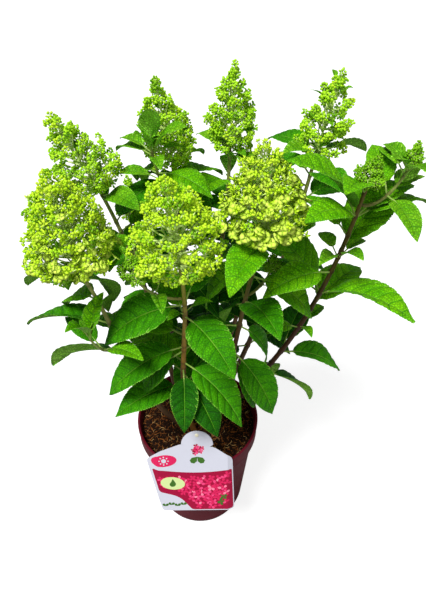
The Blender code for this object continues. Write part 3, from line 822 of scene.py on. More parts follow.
def patchy(name, dark, light, size, roughness, **sockets):
    """A material whose colour wanders between two hex values over a size in mm, its tree, and its sockets."""
    # Plant skins, peat and grained plastic scatter most of what a smooth surface would mirror.
    sockets = {"Specular_IOR_Level": 0.12, **sockets}
    made, tree, shader = principled(name, Roughness=roughness, **sockets)
    place = add(tree, "ShaderNodeTexCoord").outputs["Object"]
    patch = add(tree, "ShaderNodeTexNoise", {"Vector": place, "Scale": 1000 / size, "Detail": 3.0})
    ramp = add(tree, "ShaderNodeValToRGB", {"Fac": patch.outputs["Fac"]})
    for stop, position, code in zip(ramp.color_ramp.elements, (0.3, 0.7), (dark, light)):
        stop.position, stop.color = position, colour(code)
    tree.links.new(ramp.outputs["Color"], shader.inputs["Base Color"])
    return made, tree, shader, place, ramp.outputs["Color"]


def mottled(name, dark, light, size, roughness, relief, relief_size, **sockets):
    """A finish whose colour wanders between two hex values over a size in mm, with a fine relief in mm."""
    made, tree, shader, place, _ = patchy(name, dark, light, size, roughness, **sockets)
    fine = add(tree, "ShaderNodeTexNoise", {"Vector": place, "Scale": 1000 / relief_size, "Detail": 2.0})
    emboss(tree, shader, fine.outputs["Fac"], relief * MM, 0.6)
    return made


def leaf_finish(name, dark, light):
    """A leaf's face: its green wanders a little, its vein net is painted shade, the cells between painted
    highlight.
    """
    made, tree, shader, place, green = patchy(name, dark, light, 22, 0.55, IOR=1.4)
    cells = {"Vector": place, "Scale": 1000 / NET}
    net = add(tree, "ShaderNodeTexVoronoi", cells, feature="DISTANCE_TO_EDGE")
    field = mapped(tree, net.outputs["Distance"], (0.0, 0.22), (0.0, 1.0))
    # Painted shade in the net's lines, and a painted highlight on the cells between them.
    tinted(tree, shader, green, mapped(tree, field, (0.0, 1.0), (0.52, 1.2)))
    emboss(tree, shader, field, 0.45 * MM, 0.9)
    return made


# Fine hairs break the shine of the leaf's skin, so little of it is left. Its finest veins form a net about
# 2.6 mm wide. Seen from above the side veins are furrows, darkened with painted shade, and the midrib is
# pale.
# The margin is pale with a painted edge highlight.
NET = 2.6
# Three greens paint sunlight, open shade and deep shade on grown leaves; the young green is the young leaves'
# own.
GREENS = [
    leaf_finish("leaf with painted sunlight", "#50a302", "#78c20a"),
    leaf_finish("leaf with painted open shade", "#318202", "#4aa004"),
    leaf_finish("leaf with painted deep shade", "#175603", "#266f05"),
    leaf_finish("young leaf", "#569e0a", "#7cbc1a"),
]
# Undersides are paler, and lighter still with painted light shining through the leaf.
UNDERSIDE = leaf_finish("leaf underside, paler, with painted light through it", "#70b02c", "#8cc64c")
YOUNG_UNDERSIDE = leaf_finish("young leaf underside with painted light through it", "#92dc38", "#aef058")


def line_finish(name, dark, light, roughness=0.6):
    """A vein, a margin or a stalk: smooth, with colour that wanders over 8 mm."""
    return mottled(name, dark, light, 8, roughness, 0.05, 1.0)


MIDRIB = line_finish("leaf midrib", "#54961a", "#7cb038", 0.5)
# Painted shade in the side veins' furrows, a darker green for each leaf green.
FURROWS = [
    line_finish("painted shade in vein furrow, leaf with painted sunlight", "#307603", "#44900a"),
    line_finish("painted shade in vein furrow, leaf with painted open shade", "#206404", "#307806"),
    line_finish("painted shade in vein furrow, leaf with painted deep shade", "#0c3c02", "#144a02"),
    line_finish("painted shade in vein furrow, young leaf", "#307604", "#428a0c"),
]
# A painted highlight along the leaf's edge.
MARGIN = line_finish("leaf margin with painted edge highlight", "#62a824", "#80bc3c", 0.5)
LEAF_STALK = line_finish("leaf stalk", "#8cb044", "#aac868", 0.45)
UPPER, LOWER, RIB, VEIN, EDGE, FOOTSTALK = range(6)
print(f"{len(GREENS)} greens with their furrows, two undersides, and a midrib, a margin and a stalk")

# %% [markdown]
# ## The blades
#
# Each blade is a grid whose rows don't run straight across but follow the side veins, which leave the midrib
# at a slant and curve towards the tip. Every eighth row, or every fourth on a small blade, is a vein sunk
# into the surface, and the rows between rise as the quilting that gives this leaf its look. The outermost
# points step in and out as teeth.
# An upper and a lower sheet share the margin, so every blade is a closed body as thin as a real leaf.

# %% Blades
VEIN_SWEEP = 0.27  # how far a side vein runs forward by the margin, as a share of the length
BLADE_THICKNESS = 0.0045  # at the midrib, as a share of the length
QUILTING = 0.0115  # height of the swelling between veins, as a share of the length
TOOTH = 0.035  # depth of a tooth, as a share of half the width


def blade_template(veins, steps, teeth, out):
    """Rows that follow the veins: each point's share of the length and of half the width, and its relief.

    Steps are the rows' shares of the way from one vein to the next, and teeth says how far each sticks out.
    """
    sides = np.array([-c for c in reversed(out)] + [0.0] + list(out))
    steps = np.tile(steps, veins)
    start = ((np.arange(len(steps)) // (len(steps) // veins) + steps) / veins)[:, None]
    far = np.abs(sides)[None, :]
    along = start + VEIN_SWEEP * far**1.35 * (1 - start) * np.clip(0.2 + start / 0.16, 0, 1)
    across = sides[None, :] * (1 + TOOTH * np.tile(teeth, veins)[:, None] * (far > 0.99))
    swell = 1.1 - 2.1 * np.abs(2 * steps[:, None] - 1) ** 2.2
    relief = swell * np.clip(far / 0.2, 0, 1) * (1 - 0.6 * far) - 0.7 * (far < 0.01)
    return along, across, relief


def blade_faces(rows, columns, rows_per_vein):
    """Faces and materials of the upper sheet and of the half as fine lower one. They share margin and tip."""
    upper = np.arange(rows * columns).reshape(rows, columns)
    lower = upper + rows * columns
    lower[:, 0], lower[:, -1] = upper[:, 0], upper[:, -1]
    tip = 2 * rows * columns
    faces, slots = [], []
    middle = columns // 2
    finishes = {middle - 1: RIB, middle: RIB, 0: EDGE, columns - 2: EDGE}
    for sheet, step in ((upper, 1), (lower, 2)):
        for i in range(rows):
            # Faces beside a sunk vein take the furrow finish, which is painted shade.
            painted_furrow_shade = i > 0 and i % rows_per_vein in (0, rows_per_vein - 1)
            for j in range(0, columns - 1, step):
                a, b = sheet[i, j], sheet[i, j + step]
                face = (a, b, tip) if i == rows - 1 else (a, b, sheet[i + 1, j + step], sheet[i + 1, j])
                faces.append(tuple(reversed(face)) if step == 1 else face)
                slots.append(LOWER if step == 2 else finishes.get(j, VEIN if painted_furrow_shade else UPPER))
    for j in range(0, columns - 1, 2):
        ends = [i for i in (lower[0, j + 2], lower[0, j]) if i not in (upper[0, 0], upper[0, -1])]
        faces.append((upper[0, j], upper[0, j + 1], upper[0, j + 2], *ends))
        slots.append(LOWER)
    return faces, slots


def leaf_points(leaf, along, across, relief, dice):
    """The template laid on one leaf: its arch, fold and twist, and a slight wave of its own."""
    first = leaf.first_rise
    heading_flat = np.array(heading(leaf.bearing, 0))
    left_flat = np.array([-heading_flat[1], heading_flat[0], 0.0])
    fold = LEAF_FOLD * dice.uniform(0.7, 1.5) * (1.5 if leaf.length < 60 * MM else 1)
    twist, sway = dice.uniform(-0.22, 0.22), dice.uniform(-0.05, 0.05)
    wave, phase = dice.uniform(0.006, 0.016), dice.uniform(0, 6)

    def spine(u):
        rise = first - LEAF_BEND * u
        flat = (math.sin(first) - np.sin(rise)) / LEAF_BEND
        climb = (np.cos(rise) - math.cos(first)) / LEAF_BEND
        shift = flat[..., None] * heading_flat + climb[..., None] * np.array(UP)
        middle = np.array(leaf.base) + leaf.length * (shift + (sway * u**2)[..., None] * left_flat)
        way = np.cos(rise)[..., None] * heading_flat + np.sin(rise)[..., None] * np.array(UP)
        turn = (leaf.roll + twist * u)[..., None]
        level = np.cross(way, left_flat)
        left = np.cos(turn) * left_flat + np.sin(turn) * level
        return middle, left, np.cos(turn) * level - np.sin(turn) * left_flat

    widths = np.array([leaf_width(u) for u in along.ravel()]).reshape(along.shape)
    half = leaf.length * LEAF_SHARE / 2 * widths
    side = across * half
    middle, left, up = spine(along)
    out = np.abs(across)
    ripple = wave * out**2 * np.sin(9 * along + phase + 2 * np.sign(across)) - 0.03 * out**3
    swell = relief * QUILTING * np.minimum(1, 4 * half / leaf.length)
    lift = np.abs(side) * math.sin(fold) + leaf.length * (swell + ripple)
    top = middle + left * (side * math.cos(fold))[..., None] + up * lift[..., None]
    keel = BLADE_THICKNESS * (1 - out**2) + 0.009 * (out < 0.01) * (1 - along)
    low = top - up * (leaf.length * keel)[..., None]
    tip = spine(np.array(1.0))[0]
    return np.concatenate([top.reshape(-1, 3), low.reshape(-1, 3), tip[None]])


def add_leaf(heap, leaf, template, faces, slots, dice):
    """A blade from a template, and the stalk that carries it and ends under its midrib."""
    heap.add(leaf_points(leaf, *template, dice), faces, list(slots))
    scale = min(1.0, leaf.length / (80 * MM)) ** 0.5
    spots = [leaf.root, leaf.root.lerp(leaf.base, 0.5) - UP * 0.4 * MM, leaf.base]
    spots += [leaf.spine(share)[0] - leaf.frame(share)[3] * leaf.length * 0.008 for share in (0.1, 0.25)]
    stalk, sides = tube(spots, np.array([1.35, 1.15, 1.2, 0.9, 0.25]) * MM * scale, 6)
    heap.add(stalk, sides, FOOTSTALK)


FINE_STEPS = (0, 0.05, 0.2, 0.35, 0.5, 0.65, 0.8, 0.95)
FINE_TEETH = (0.2, -1, 0.6, -1, 0.6, -1, 0.6, -1)
COARSE_STEPS, COARSE_TEETH = (0, 0.08, 0.5, 0.92), (0.4, -1, 0.6, -1)
LARGE = blade_template(7, FINE_STEPS, FINE_TEETH, (0.022, 0.2, 0.44, 0.7, 0.965, 1.0))
SMALL = blade_template(5, COARSE_STEPS, COARSE_TEETH, (0.04, 0.42, 0.94, 1.0))
LARGE_FACES = blade_faces(*LARGE[0].shape, len(FINE_STEPS))
SMALL_FACES = blade_faces(*SMALL[0].shape, len(COARSE_STEPS))
YOUNG = 3  # the place of young leaves among the greens
YOUNG_LEAF = 58 * MM  # a shorter leaf high on the plant is young
FINE_LEAF = 50 * MM  # a longer leaf takes the fine template
heaps = [Heap() for _ in GREENS]
dice = random.Random(SEED)
for (name, *_), leaf in LEAVES.items():
    young = leaf.length < YOUNG_LEAF and leaf.root.z > 0.5
    # High and front leaves stand in more light, painted as a lighter green; the others take painted shade.
    bright = (leaf.base.z - 0.33) / 0.25 + (0.25 if leaf.base.y < 0 else -0.35) + dice.uniform(-0.45, 0.45)
    shade = YOUNG if young else 0 if bright > 0.75 else 1 if bright > 0.1 else 2
    template, faces = (LARGE, LARGE_FACES) if leaf.length > FINE_LEAF else (SMALL, SMALL_FACES)
    add_leaf(heaps[shade], leaf, template, *faces, dice)
print("blades in the four greens:", [heap.slots.count(RIB) for heap in heaps])

# %% [markdown]
# ## Small leaves at the tips
#
# Under each flower head sit a pair or two of small bract leaves, and a shoot with no flower head ends in a
# tuft of folded young ones round its bud. A few more stand inside the loose heads. They are made with the
# same template in its coarser form.

# %% Tufts and bracts
for name, (stem, _) in STEMS.items():
    flowering = name in PANICLES
    count = 2 if flowering and PANICLES[name].height * MM <= TALL_HEAD else 4
    for k in range(count):
        share = (0.995 if k < 2 else 0.965) if flowering else 1.0 - 0.03 * (k // 2)
        bearing = 90 * (k // 2) + 180 * (k % 2) + dice.uniform(-60, 60)
        length = dice.uniform(13, 24) * MM if flowering else dice.uniform(20, 30) * MM
        lift = dice.uniform(5, 40) if flowering else dice.uniform(45, 68)
        roll = dice.uniform(-0.3, 0.3)
        bract = Leaf(stem.at(share), stem.radius(share) - 9 * MM, bearing, lift, length, roll)
        add_leaf(heaps[YOUNG], bract, SMALL, *SMALL_FACES, dice)

LOOSE_HEADS = {"right_back": 7, "back": 3, "middle": 2, "left_back": 3, "front_side": 2}  # bracts in each
for name, count in LOOSE_HEADS.items():
    panicle, foot = PANICLES[name], STEMS[name][0].at(1)
    axis = lean_heading(panicle.lean)
    for k in range(count):
        spot = foot + axis * panicle.height * MM * (0.12 + 0.72 * k / count)
        length = dice.uniform(16, 24) * MM * (1 - 0.4 * k / count)
        bract = Leaf(spot, 5 * MM, 137 * k + dice.uniform(-30, 30), dice.uniform(10, 35), length, 0.2)
        add_leaf(heaps[YOUNG], bract, SMALL, *SMALL_FACES, dice)

foliage_nodes = [f"leaves_{name}" for name in STEMS]
for name, heap, green, furrow in zip(("sun", "shade", "deep", "young"), heaps, GREENS, FURROWS):
    name = f"leaves_{name}"
    underside = YOUNG_UNDERSIDE if green == GREENS[YOUNG] else UNDERSIDE
    finishes = (green, underside, MIDRIB, furrow, MARGIN, LEAF_STALK)
    piece(name, heap.mesh(name, finishes, sharp=70), foliage_nodes)

# %% [markdown]
# ## Canes and shoots
#
# A cane is woody and tan to purple-brown at its foot, and turns olive and then green where it is this
# year's growth. It swells to a darker ring at each pair of leaves, and shallow ridges run along it. Each one
# is a single tube from its flat cut at the mix to its tip. Its colour is worked out for each point and kept
# in a colour attribute, which follows the bend of the cane as a pattern in space could not.

# %% Canes and shoots
BARK = {
    # the colour at the foot, at half height and at the tip
    "front": ("#664218", "#a87c3a", "#9c9c40"),
    "front_right": ("#3a2414", "#523419", "#807c32"),
    "right": ("#3a2010", "#4c2c14", "#706228"),
    "right_back": ("#5c3f31", "#7a5a3f", "#9aa655"),
    "back": ("#5f4433", "#7f6142", "#9aa655"),
    "middle": ("#5b4032", "#775a3e", "#98a052"),
    "left_back": ("#634635", "#83663f", "#a0ac5a"),
    "left": ("#6a4b37", "#8a6c47", "#a3ad5c"),
    "low_left": ("#5f4534", "#7a5f3f", "#94a04f"),
    "low_right": ("#5f4534", "#7a5f3f", "#94a04f"),
}
GREEN_SHOOT = ("#7f7a3f", "#8f9e4c", "#a3b55e")
NODE_RING = np.array(colour("#3c2420")[:3])


def leaf_shares(name):
    """Where on a shoot the placed leaves stand."""
    stem = STEMS[name][0]
    spots = [leaf.root for key, leaf in LEAVES.items() if key[0] == name]
    grid = [stem.at(k / 200) for k in range(201)]
    return [min(range(201), key=lambda k: (grid[k] - spot).length) / 200 for spot in spots]


def add_stem(heap, colours, name, sides, spacing, dice):
    """One stem with its flare, rings, ridges and the colour of each point."""
    stem = STEMS[name][0]
    rings = max(12, round(stem.length / spacing))
    shares = np.linspace(0, 1, rings)
    path = np.array([stem.at(share) for share in shares])
    height = shares * stem.length
    radius = stem.foot_radius + (stem.top_radius - stem.foot_radius) * shares
    ring = np.zeros(rings)
    for share in leaf_shares(name):
        ring = np.maximum(ring, np.exp(-(((shares - share) * stem.length / (2.4 * MM)) ** 2)))
    radius = radius * (1 + 0.22 * ring)
    if name in CANES:
        radius = radius * (1 + (FOOT_FLARE - 1) * np.exp(-height / (7 * MM)))
    turns = np.arange(sides) * 2 * math.pi / sides
    a, b = dice.uniform(0, 6), dice.uniform(0, 6)
    ridges = 0.035 * np.sin(3 * turns[None] + a + 40 * height[:, None]) + 0.025 * np.sin(5 * turns[None] + b)
    points, faces = tube(path, radius[:, None] * (1 + ridges), sides)
    if name in CANES:
        points[:sides, 2] = stem.foot.z
    heap.add(points, faces)
    stops = np.array([colour(code)[:3] for code in BARK.get(name, GREEN_SHOOT)])
    hue = np.stack([np.interp(shares, (0, 0.55, 1), stops[:, c]) for c in range(3)], axis=1)
    hue = hue + (NODE_RING - hue) * 0.55 * ring[:, None]
    streak = 1 + 0.14 * np.sin(2 * turns[None] + a) * np.sin(90 * height[:, None] + b)
    colours.append((hue[:, None] * streak[..., None]).reshape(-1, 3))


def bark_finish():
    """Young bark, a little glossy, with fine streaks along the cane and its colour from the mesh."""
    made, tree, shader = principled("smooth young bark", Roughness=0.52, Specular_IOR_Level=0.25)
    hue = add(tree, "ShaderNodeAttribute", attribute_name="bark")
    place = add(tree, "ShaderNodeTexCoord").outputs["Object"]
    along = add(tree, "ShaderNodeMapping", {"Vector": place, "Scale": (1.0, 1.0, 0.12)}).outputs["Vector"]
    streaks = add(tree, "ShaderNodeTexNoise", {"Vector": along, "Scale": 900.0, "Detail": 3.0}).outputs["Fac"]
    tinted(tree, shader, hue.outputs["Color"], mapped(tree, streaks, (0.3, 0.7), (0.8, 1.15)))
    emboss(tree, shader, streaks, 0.25 * MM, 0.7)
    return made


def coloured(mesh, colours):
    """The mesh with a colour kept at each of its points."""
    points = np.concatenate(colours)
    kept = mesh.attributes.new("bark", "FLOAT_COLOR", "POINT")
    kept.data.foreach_set("color", np.concatenate([points, np.ones((len(points), 1))], axis=1).ravel())
    return mesh


bark = bark_finish()
cane_nodes = [f"cane_{name}" for name in CANES]
for title, group, sides, spacing, nodes in (
    ("canes", CANES, 14, 2.2 * MM, cane_nodes + foliage_nodes),
    ("side_shoots", SIDES, 10, 1.8 * MM, foliage_nodes),
):
    heap, colours = Heap(), []
    for name in group:
        add_stem(heap, colours, name, sides, spacing, dice)
    piece(title, coloured(heap.mesh(title, [bark]), colours), nodes)

# %% [markdown]
# ## Flower heads
#
# A panicle is a cone of branches on branches. Its axis sends out tiers of stalks, each stalk forks towards
# its end, and every fork carries a loose cluster of round buds. Low on the cone, and all over the ripest
# head, clusters open to a floret of four sepals instead. The stalks are heaps of thin tubes. Buds and
# florets are thousands of copies of three small shapes, so each becomes a point with a size and a direction,
# and Geometry Nodes set the shape on every point and realize it as plain mesh.

# %% How a flower head branches
Head = namedtuple("Head", "florets floret_size start tier gap even buds bud tone")
HEADS = {
    # the share of clusters that open at the foot and at the top, a full floret's width in mm, the share of
    # the height that is bare, from tier to tier and from stalk to stalk in mm, the shortest stalk's share of
    # the full reach, buds in a cluster, a bud's width in mm, and which bud colour it has most of
    "front": Head((0.35, 0.0), 13, 0.05, 15, 30, 0.7, 9, 3.1, 1),
    "front_right": Head((1.0, 0.9), 15, 0.2, 12, 19, 0.85, 9, 2.8, 1),
    "left": Head((0.9, 0.1), 14, 0.13, 13, 23, 0.75, 9, 3.1, 1),
    "left_back": Head((0.12, 0.0), 9, 0.04, 17, 31, 0.65, 9, 3.0, 0),
    "right_back": Head((0.05, 0.0), 8, 0.0, 21, 36, 0.6, 10, 3.1, 0),
    "back": Head((0.05, 0.0), 8, 0.0, 15, 29, 0.7, 9, 3.0, 0),
    "middle": Head((0.10, 0.0), 9, 0.0, 15, 29, 0.7, 9, 3.0, 0),
    "low_left": Head((0.15, 0.0), 8, 0.0, 14, 26, 0.7, 8, 2.8, 0),
    "low_right": Head((0.10, 0.0), 8, 0.0, 14, 26, 0.7, 8, 2.8, 0),
}
YOUNG_HEAD = Head((0.0, 0.0), 7, 0.0, 9, 17, 0.8, 8, 2.4, 2)
AXIS_STEPS = 6  # straight lengths in a head's axis
LONG_STALK = 16 * MM
# Where a stalk forks: which of its four lengths, and how far along it. A short stalk forks less.
FORKS = ((3, 0.1), (3, 0.7), (3, 0.4), (2, 0.3), (2, 0.75))
FEW_FORKS = ((3, 0.3), (2, 0.3))


def head_plan(name, seed):
    """The stalks as pairs of ends with radii, and the clusters as places with directions."""
    dice = random.Random(seed)
    panicle, head, stem = PANICLES[name], HEADS.get(name, YOUNG_HEAD), STEMS[name][0]
    axis = lean_heading(panicle.lean)
    height, half = panicle.height * MM, panicle.width * MM / 2
    foot = stem.at(1)
    across, over = square_to(axis, Vector((0, 1, 0)))
    stalks, clusters = [], []
    thick = 1.9 * MM if height > TALL_HEAD else 1.1 * MM
    for k in range(AXIS_STEPS):
        shares = (k / AXIS_STEPS, (k + 1) / AXIS_STEPS)
        ends = [foot + axis * height * 0.97 * share for share in shares]
        stalks.append((*ends, *(thick * (1 - 0.7 * share) for share in shares)))
    in_bloom = 1 - head.start
    tiers = max(3, round(height * in_bloom / (head.tier * MM)))
    turn = dice.uniform(0, 6)
    for tier in range(tiers):
        level = head.start + in_bloom * (tier + 0.35) / (tiers + 0.1)
        reach = half * min(1.0, panicle_width(level))
        count = max(3, round(2 * math.pi * reach / (head.gap * MM)))
        turn += 1.1
        for k in range(count):
            angle = turn + 2 * math.pi * (k + dice.uniform(-0.25, 0.25)) / count
            out = across * math.cos(angle) + over * math.sin(angle)
            side = axis.cross(out)
            span = reach * dice.uniform(head.even, 1.0)
            climb = height * min(0.95, level + dice.uniform(-0.03, 0.04))
            start = foot + axis * max(1.5 * MM, climb - 0.22 * height * dice.uniform(0.6, 1.2))
            tip = foot + axis * climb + out * (span - 4 * MM) + side * span * dice.uniform(-0.12, 0.12)
            bend = start.lerp(tip, 0.55) - axis * 0.05 * span
            line = [start, start.lerp(bend, 0.5), bend, bend.lerp(tip, 0.5) + axis * 0.02 * span, tip]
            for j in range(4):
                stalks.append((line[j], line[j + 1], (1.7 - 0.28 * j) * MM, (1.42 - 0.28 * j) * MM))
            way = (tip - bend).normalized()
            clusters.append((tip, way, level, 1.0))
            for number, (j, share) in enumerate(FORKS if span > LONG_STALK else FEW_FORKS):
                fork = line[j].lerp(line[j + 1], share)
                aim = (1 if number % 2 else -1) * dice.uniform(0.5, 1.1)
                twig = (way * 0.6 + side * aim + axis * dice.uniform(-0.3, 0.8)).normalized()
                end = fork + twig * min(0.34 * span, dice.uniform(7, 12) * MM)
                stalks.append((fork, end, 0.8 * MM, 0.6 * MM))
                clusters.append((end, twig, level, 0.3 + 0.2 * j))
    clusters.append((foot + axis * height * 0.955, axis, 1.0, 1.0))
    return stalks, clusters


def cluster_buds(end, way, head, dice, stalks):
    """A loose cluster: buds spread evenly round the fork's end, every second one on a stalk of its own."""
    width = head.bud * MM
    across, over = square_to(way, Vector((0.3, 1, 0.2)))
    first = dice.uniform(0, 6.28)
    buds = [(end + way * width * 1.3, way, width / 2 * dice.uniform(0.9, 1.15))]
    for k in range(head.buds - 1):
        rise = 0.85 - 1.35 * (k + 0.5) / (head.buds - 1)
        flat = math.sqrt(1 - rise * rise)
        turn = first + 2.4 * k
        aim = way * rise + (across * math.cos(turn) + over * math.sin(turn)) * flat
        spot = end + aim * width * dice.uniform(0.85, 1.55)
        buds.append((spot, aim, width / 2 * dice.uniform(0.7, 1.2)))
        if k % 2:
            stalks.append((end, spot, 0.55 * MM, 0.4 * MM))
    return buds


def head_pieces(name, seed):
    """The stalks of a head, its buds by colour, and its florets. A cluster is buds, or opens to a floret."""
    dice = random.Random(seed + 5)
    head = HEADS.get(name, YOUNG_HEAD)
    stalks, clusters = head_plan(name, seed)
    buds, florets = [[] for _ in BUDS], []
    for end, way, level, out in clusters:
        low, high = head.florets
        if dice.random() < (low + (high - low) * level) * out:
            share = dice.uniform(0.75, 1.0) if dice.random() < 0.4 * (1 - level) else dice.uniform(0.56, 0.78)
            size = head.floret_size * (share - 0.18 * level) * MM
            nod = Vector((dice.uniform(-0.4, 0.4), dice.uniform(-0.4, 0.4), dice.uniform(0.2, 0.9)))
            tilt = (way + nod).normalized()
            stalks.append((end, end + tilt * 2 * MM, 0.45 * MM, 0.35 * MM))
            florets.append((end + tilt * 2 * MM, tilt, size))
            continue
        tone = head.tone if dice.random() < 0.7 or head.tone == 2 else dice.randrange(3)
        buds[tone] += cluster_buds(end, way, head, dice, stalks)
    return stalks, buds, florets


def sticks(heap, stalks, sides=3):
    """Short straight tubes, all built at once. Their ends lie in a fork, an axis or a bud, and are closed."""
    first = np.array([s[0] for s in stalks])
    last = np.array([s[1] for s in stalks])
    radii = np.array([s[2:] for s in stalks])
    ways = unit(last - first)
    near = np.where(np.abs(ways[:, 1:2]) < 0.9, [[0.2, 1.0, 0.1]], [[1.0, 0.1, 0.2]])
    rings = circles(ways, near, sides)
    low = first[:, None] + rings * radii[:, 0, None, None]
    high = last[:, None] + rings * radii[:, 1, None, None]
    points = np.concatenate([low, high], axis=1).reshape(-1, 3)
    pattern = rings_to_faces(2, sides)
    faces = [tuple(i + 2 * sides * k for i in face) for k in range(len(stalks)) for face in pattern]
    heap.add(points, faces)


print("a head is an axis, tiers of forking stalks, and a cluster on each fork")

# %% A bud and a floret
def ball_shape(name, stretch, uneven=None):
    """A small round shape with a radius near 1: an uneven lump with a dice, and a smooth ball without."""
    bm = bmesh.new()
    bmesh.ops.create_icosphere(bm, subdivisions=1, radius=1)
    for vert in bm.verts:
        vert.co = vert.co * Vector(stretch) * (uneven.uniform(0.6, 1.2) if uneven else 1.0)
    mesh = bpy.data.meshes.new(name)
    bm.to_mesh(mesh)
    bm.free()
    if not uneven:
        mesh.shade_smooth()
    return mesh


def floret_shape(half, cup):
    """Four sepals round a centre, from half a sepal's outline and its rise at the tip. It is 2 wide."""
    heap = Heap()
    rim = half + [(1.0, 0.0)] + [(x, -y) for x, y in reversed(half)]
    for k in range(4):
        turn, lift = k * math.pi / 2, 0.05 * (k % 2)
        spots = [(0.52, 0.0)] + rim
        flat = np.array([(x, y, cup * x * x + 0.2 * y * y + lift) for x, y in spots])
        flat[0, 2] -= 0.05
        c, s = math.cos(turn), math.sin(turn)
        top = np.stack([flat[:, 0] * c - flat[:, 1] * s, flat[:, 0] * s + flat[:, 1] * c, flat[:, 2]], axis=1)
        count = len(spots)
        low = top[:1] - [0, 0, 0.06]
        faces = [(0, j + 1 if j + 1 < count else 1, j) for j in range(1, count)]
        under = [(count, j, j + 1 if j + 1 < count else 1) for j in range(1, count)]
        heap.add(np.concatenate([top, low]), faces + under)
    centre, faces = tube([(0, 0, -0.04), (0, 0, 0.10), (0, 0, 0.17)], [0.12, 0.14, 0.05], 5)
    heap.add(centre, faces)
    return heap.mesh("floret", [])


def new_tree(name, base, *values):
    """A Geometry Nodes group and its inputs: the base under the copies, the piece, its finish, and values."""
    tree = bpy.data.node_groups.new(name, "GeometryNodeTree")
    for socket, kind in ((base, "Geometry"), ("Piece", "Object"), ("Finish", "Material"), *values):
        tree.interface.new_socket(socket, in_out="INPUT", socket_type=f"NodeSocket{kind}")
    tree.interface.new_socket("Mesh", in_out="OUTPUT", socket_type="NodeSocketGeometry")
    return tree, add(tree, "NodeGroupInput").outputs


def piece_on_points(tree, inputs, points, rotation, scale):
    """The end of a group: the piece on each point, realized as plain mesh, with its finish."""
    single = add(tree, "GeometryNodeObjectInfo", {"Object": inputs["Piece"]}).outputs["Geometry"]
    how = {"Points": points, "Instance": single, "Rotation": rotation, "Scale": scale}
    placed = add(tree, "GeometryNodeInstanceOnPoints", how)
    real = add(tree, "GeometryNodeRealizeInstances", {"Geometry": placed.outputs["Instances"]})
    dress = {"Geometry": real.outputs["Geometry"], "Material": inputs["Finish"]}
    worn = add(tree, "GeometryNodeSetMaterial", dress)
    add(tree, "NodeGroupOutput", {"Mesh": worn.outputs["Geometry"]})


def copies_tree():
    """Geometry Nodes that set a piece on each point, by the size, way and spin that the point holds."""
    tree, inputs = new_tree("copies on points", "Points")
    size, way, spin = (
        add(tree, "GeometryNodeInputNamedAttribute", {"Name": name}, data_type=kind).outputs[0]
        for name, kind in (("size", "FLOAT"), ("way", "FLOAT_VECTOR"), ("spin", "FLOAT"))
    )
    aimed = add(tree, "FunctionNodeAlignRotationToVector", {"Vector": way}, axis="Z").outputs[0]
    spun = add(tree, "FunctionNodeAxisAngleToRotation", {"Axis": (0, 0, 1), "Angle": spin}).outputs[0]
    turns = {"Rotation": aimed, "Rotate By": spun}
    both = add(tree, "FunctionNodeRotateRotation", turns, rotation_space="LOCAL")
    piece_on_points(tree, inputs, inputs["Points"], both.outputs[0], size)
    return tree


def mesh_from_nodes(tree, name, base, shape, finish, **values):
    """The plain mesh that a group makes with the shape on a base mesh. Values are its other inputs."""
    helper = bpy.data.objects.new("one " + name, shape)
    holder = bpy.data.objects.new(name, base)
    for placed in (helper, holder):
        scene.collection.objects.link(placed)
    nodes = holder.modifiers.new("copies", "NODES")
    nodes.node_group = tree
    inputs = {item.name: item.identifier for item in tree.interface.items_tree if item.in_out == "INPUT"}
    for key, value in {"Piece": helper, "Finish": finish, **values}.items():
        nodes[inputs[key.replace("_", " ")]] = value
    made = bpy.data.meshes.new_from_object(holder.evaluated_get(bpy.context.evaluated_depsgraph_get()))
    made.name = name
    for placed in (helper, holder):
        bpy.data.objects.remove(placed)
    return made


COPIES = copies_tree()


def copies(name, shape, spots, finish, dice):
    """A plain mesh with the shape on every spot, each spot a place, a direction and a size."""
    base = bpy.data.meshes.new(name)
    base.from_pydata([tuple(spot[0]) for spot in spots], [], [])
    for attribute, kind, field, values in (
        ("size", "FLOAT", "value", [spot[2] for spot in spots]),
        ("spin", "FLOAT", "value", [dice.uniform(0, 6.28) for _ in spots]),
        ("way", "FLOAT_VECTOR", "vector", [part for spot in spots for part in spot[1]]),
    ):
        base.attributes.new(attribute, kind, "POINT").data.foreach_set(field, values)
    return mesh_from_nodes(COPIES, name, base, shape, finish)


print("one group sets a piece on every point, by the point's own size, way and spin")

# %% [markdown]
# ## Flower finishes
#
# Buds are waxy and lime green, and yellower where they swell. Open sepals are thin and paler. The stalks are
# cream with a breath of green. None of them shines much.

# %% Make the flower heads
STALK = mottled("cream-green flower stalk", "#ccf070", "#f0ffb0", 6, 0.5, 0.05, 0.8)
BUDS = [
    mottled("waxy lime bud", "#94d010", "#beee34", 9, 0.45, 0.05, 0.8),
    mottled("waxy yellow-green bud", "#a8da0e", "#d6f43a", 9, 0.45, 0.05, 0.8),
    mottled("waxy green bud", "#64a40e", "#90c824", 9, 0.45, 0.05, 0.8),
]
SEPALS = [
    mottled("lime sepal", "#b8e818", "#dcfa48", 7, 0.5, 0.08, 0.9, IOR=1.4),
    mottled("pale lime sepal", "#bee82c", "#e8fc70", 7, 0.5, 0.08, 0.9, IOR=1.4),
]
OPEN = 9.3 * MM  # a floret of this width has opened
MOST_BUDS = 9500  # in one piece, which keeps it under 200,000 triangles
stalk_heap = Heap()
bud_spots, floret_spots = [[] for _ in BUDS], []
for number, name in enumerate(PANICLES):
    stalks, buds, florets = head_pieces(name, SEED + 31 * number)
    sticks(stalk_heap, stalks)
    floret_spots += florets
    for kept, found in zip(bud_spots, buds):
        kept += found
print(f"{sum(map(len, bud_spots))} buds and {len(floret_spots)} florets in {len(PANICLES)} heads")
head_nodes = [f"panicle_{name}" for name in PANICLES]
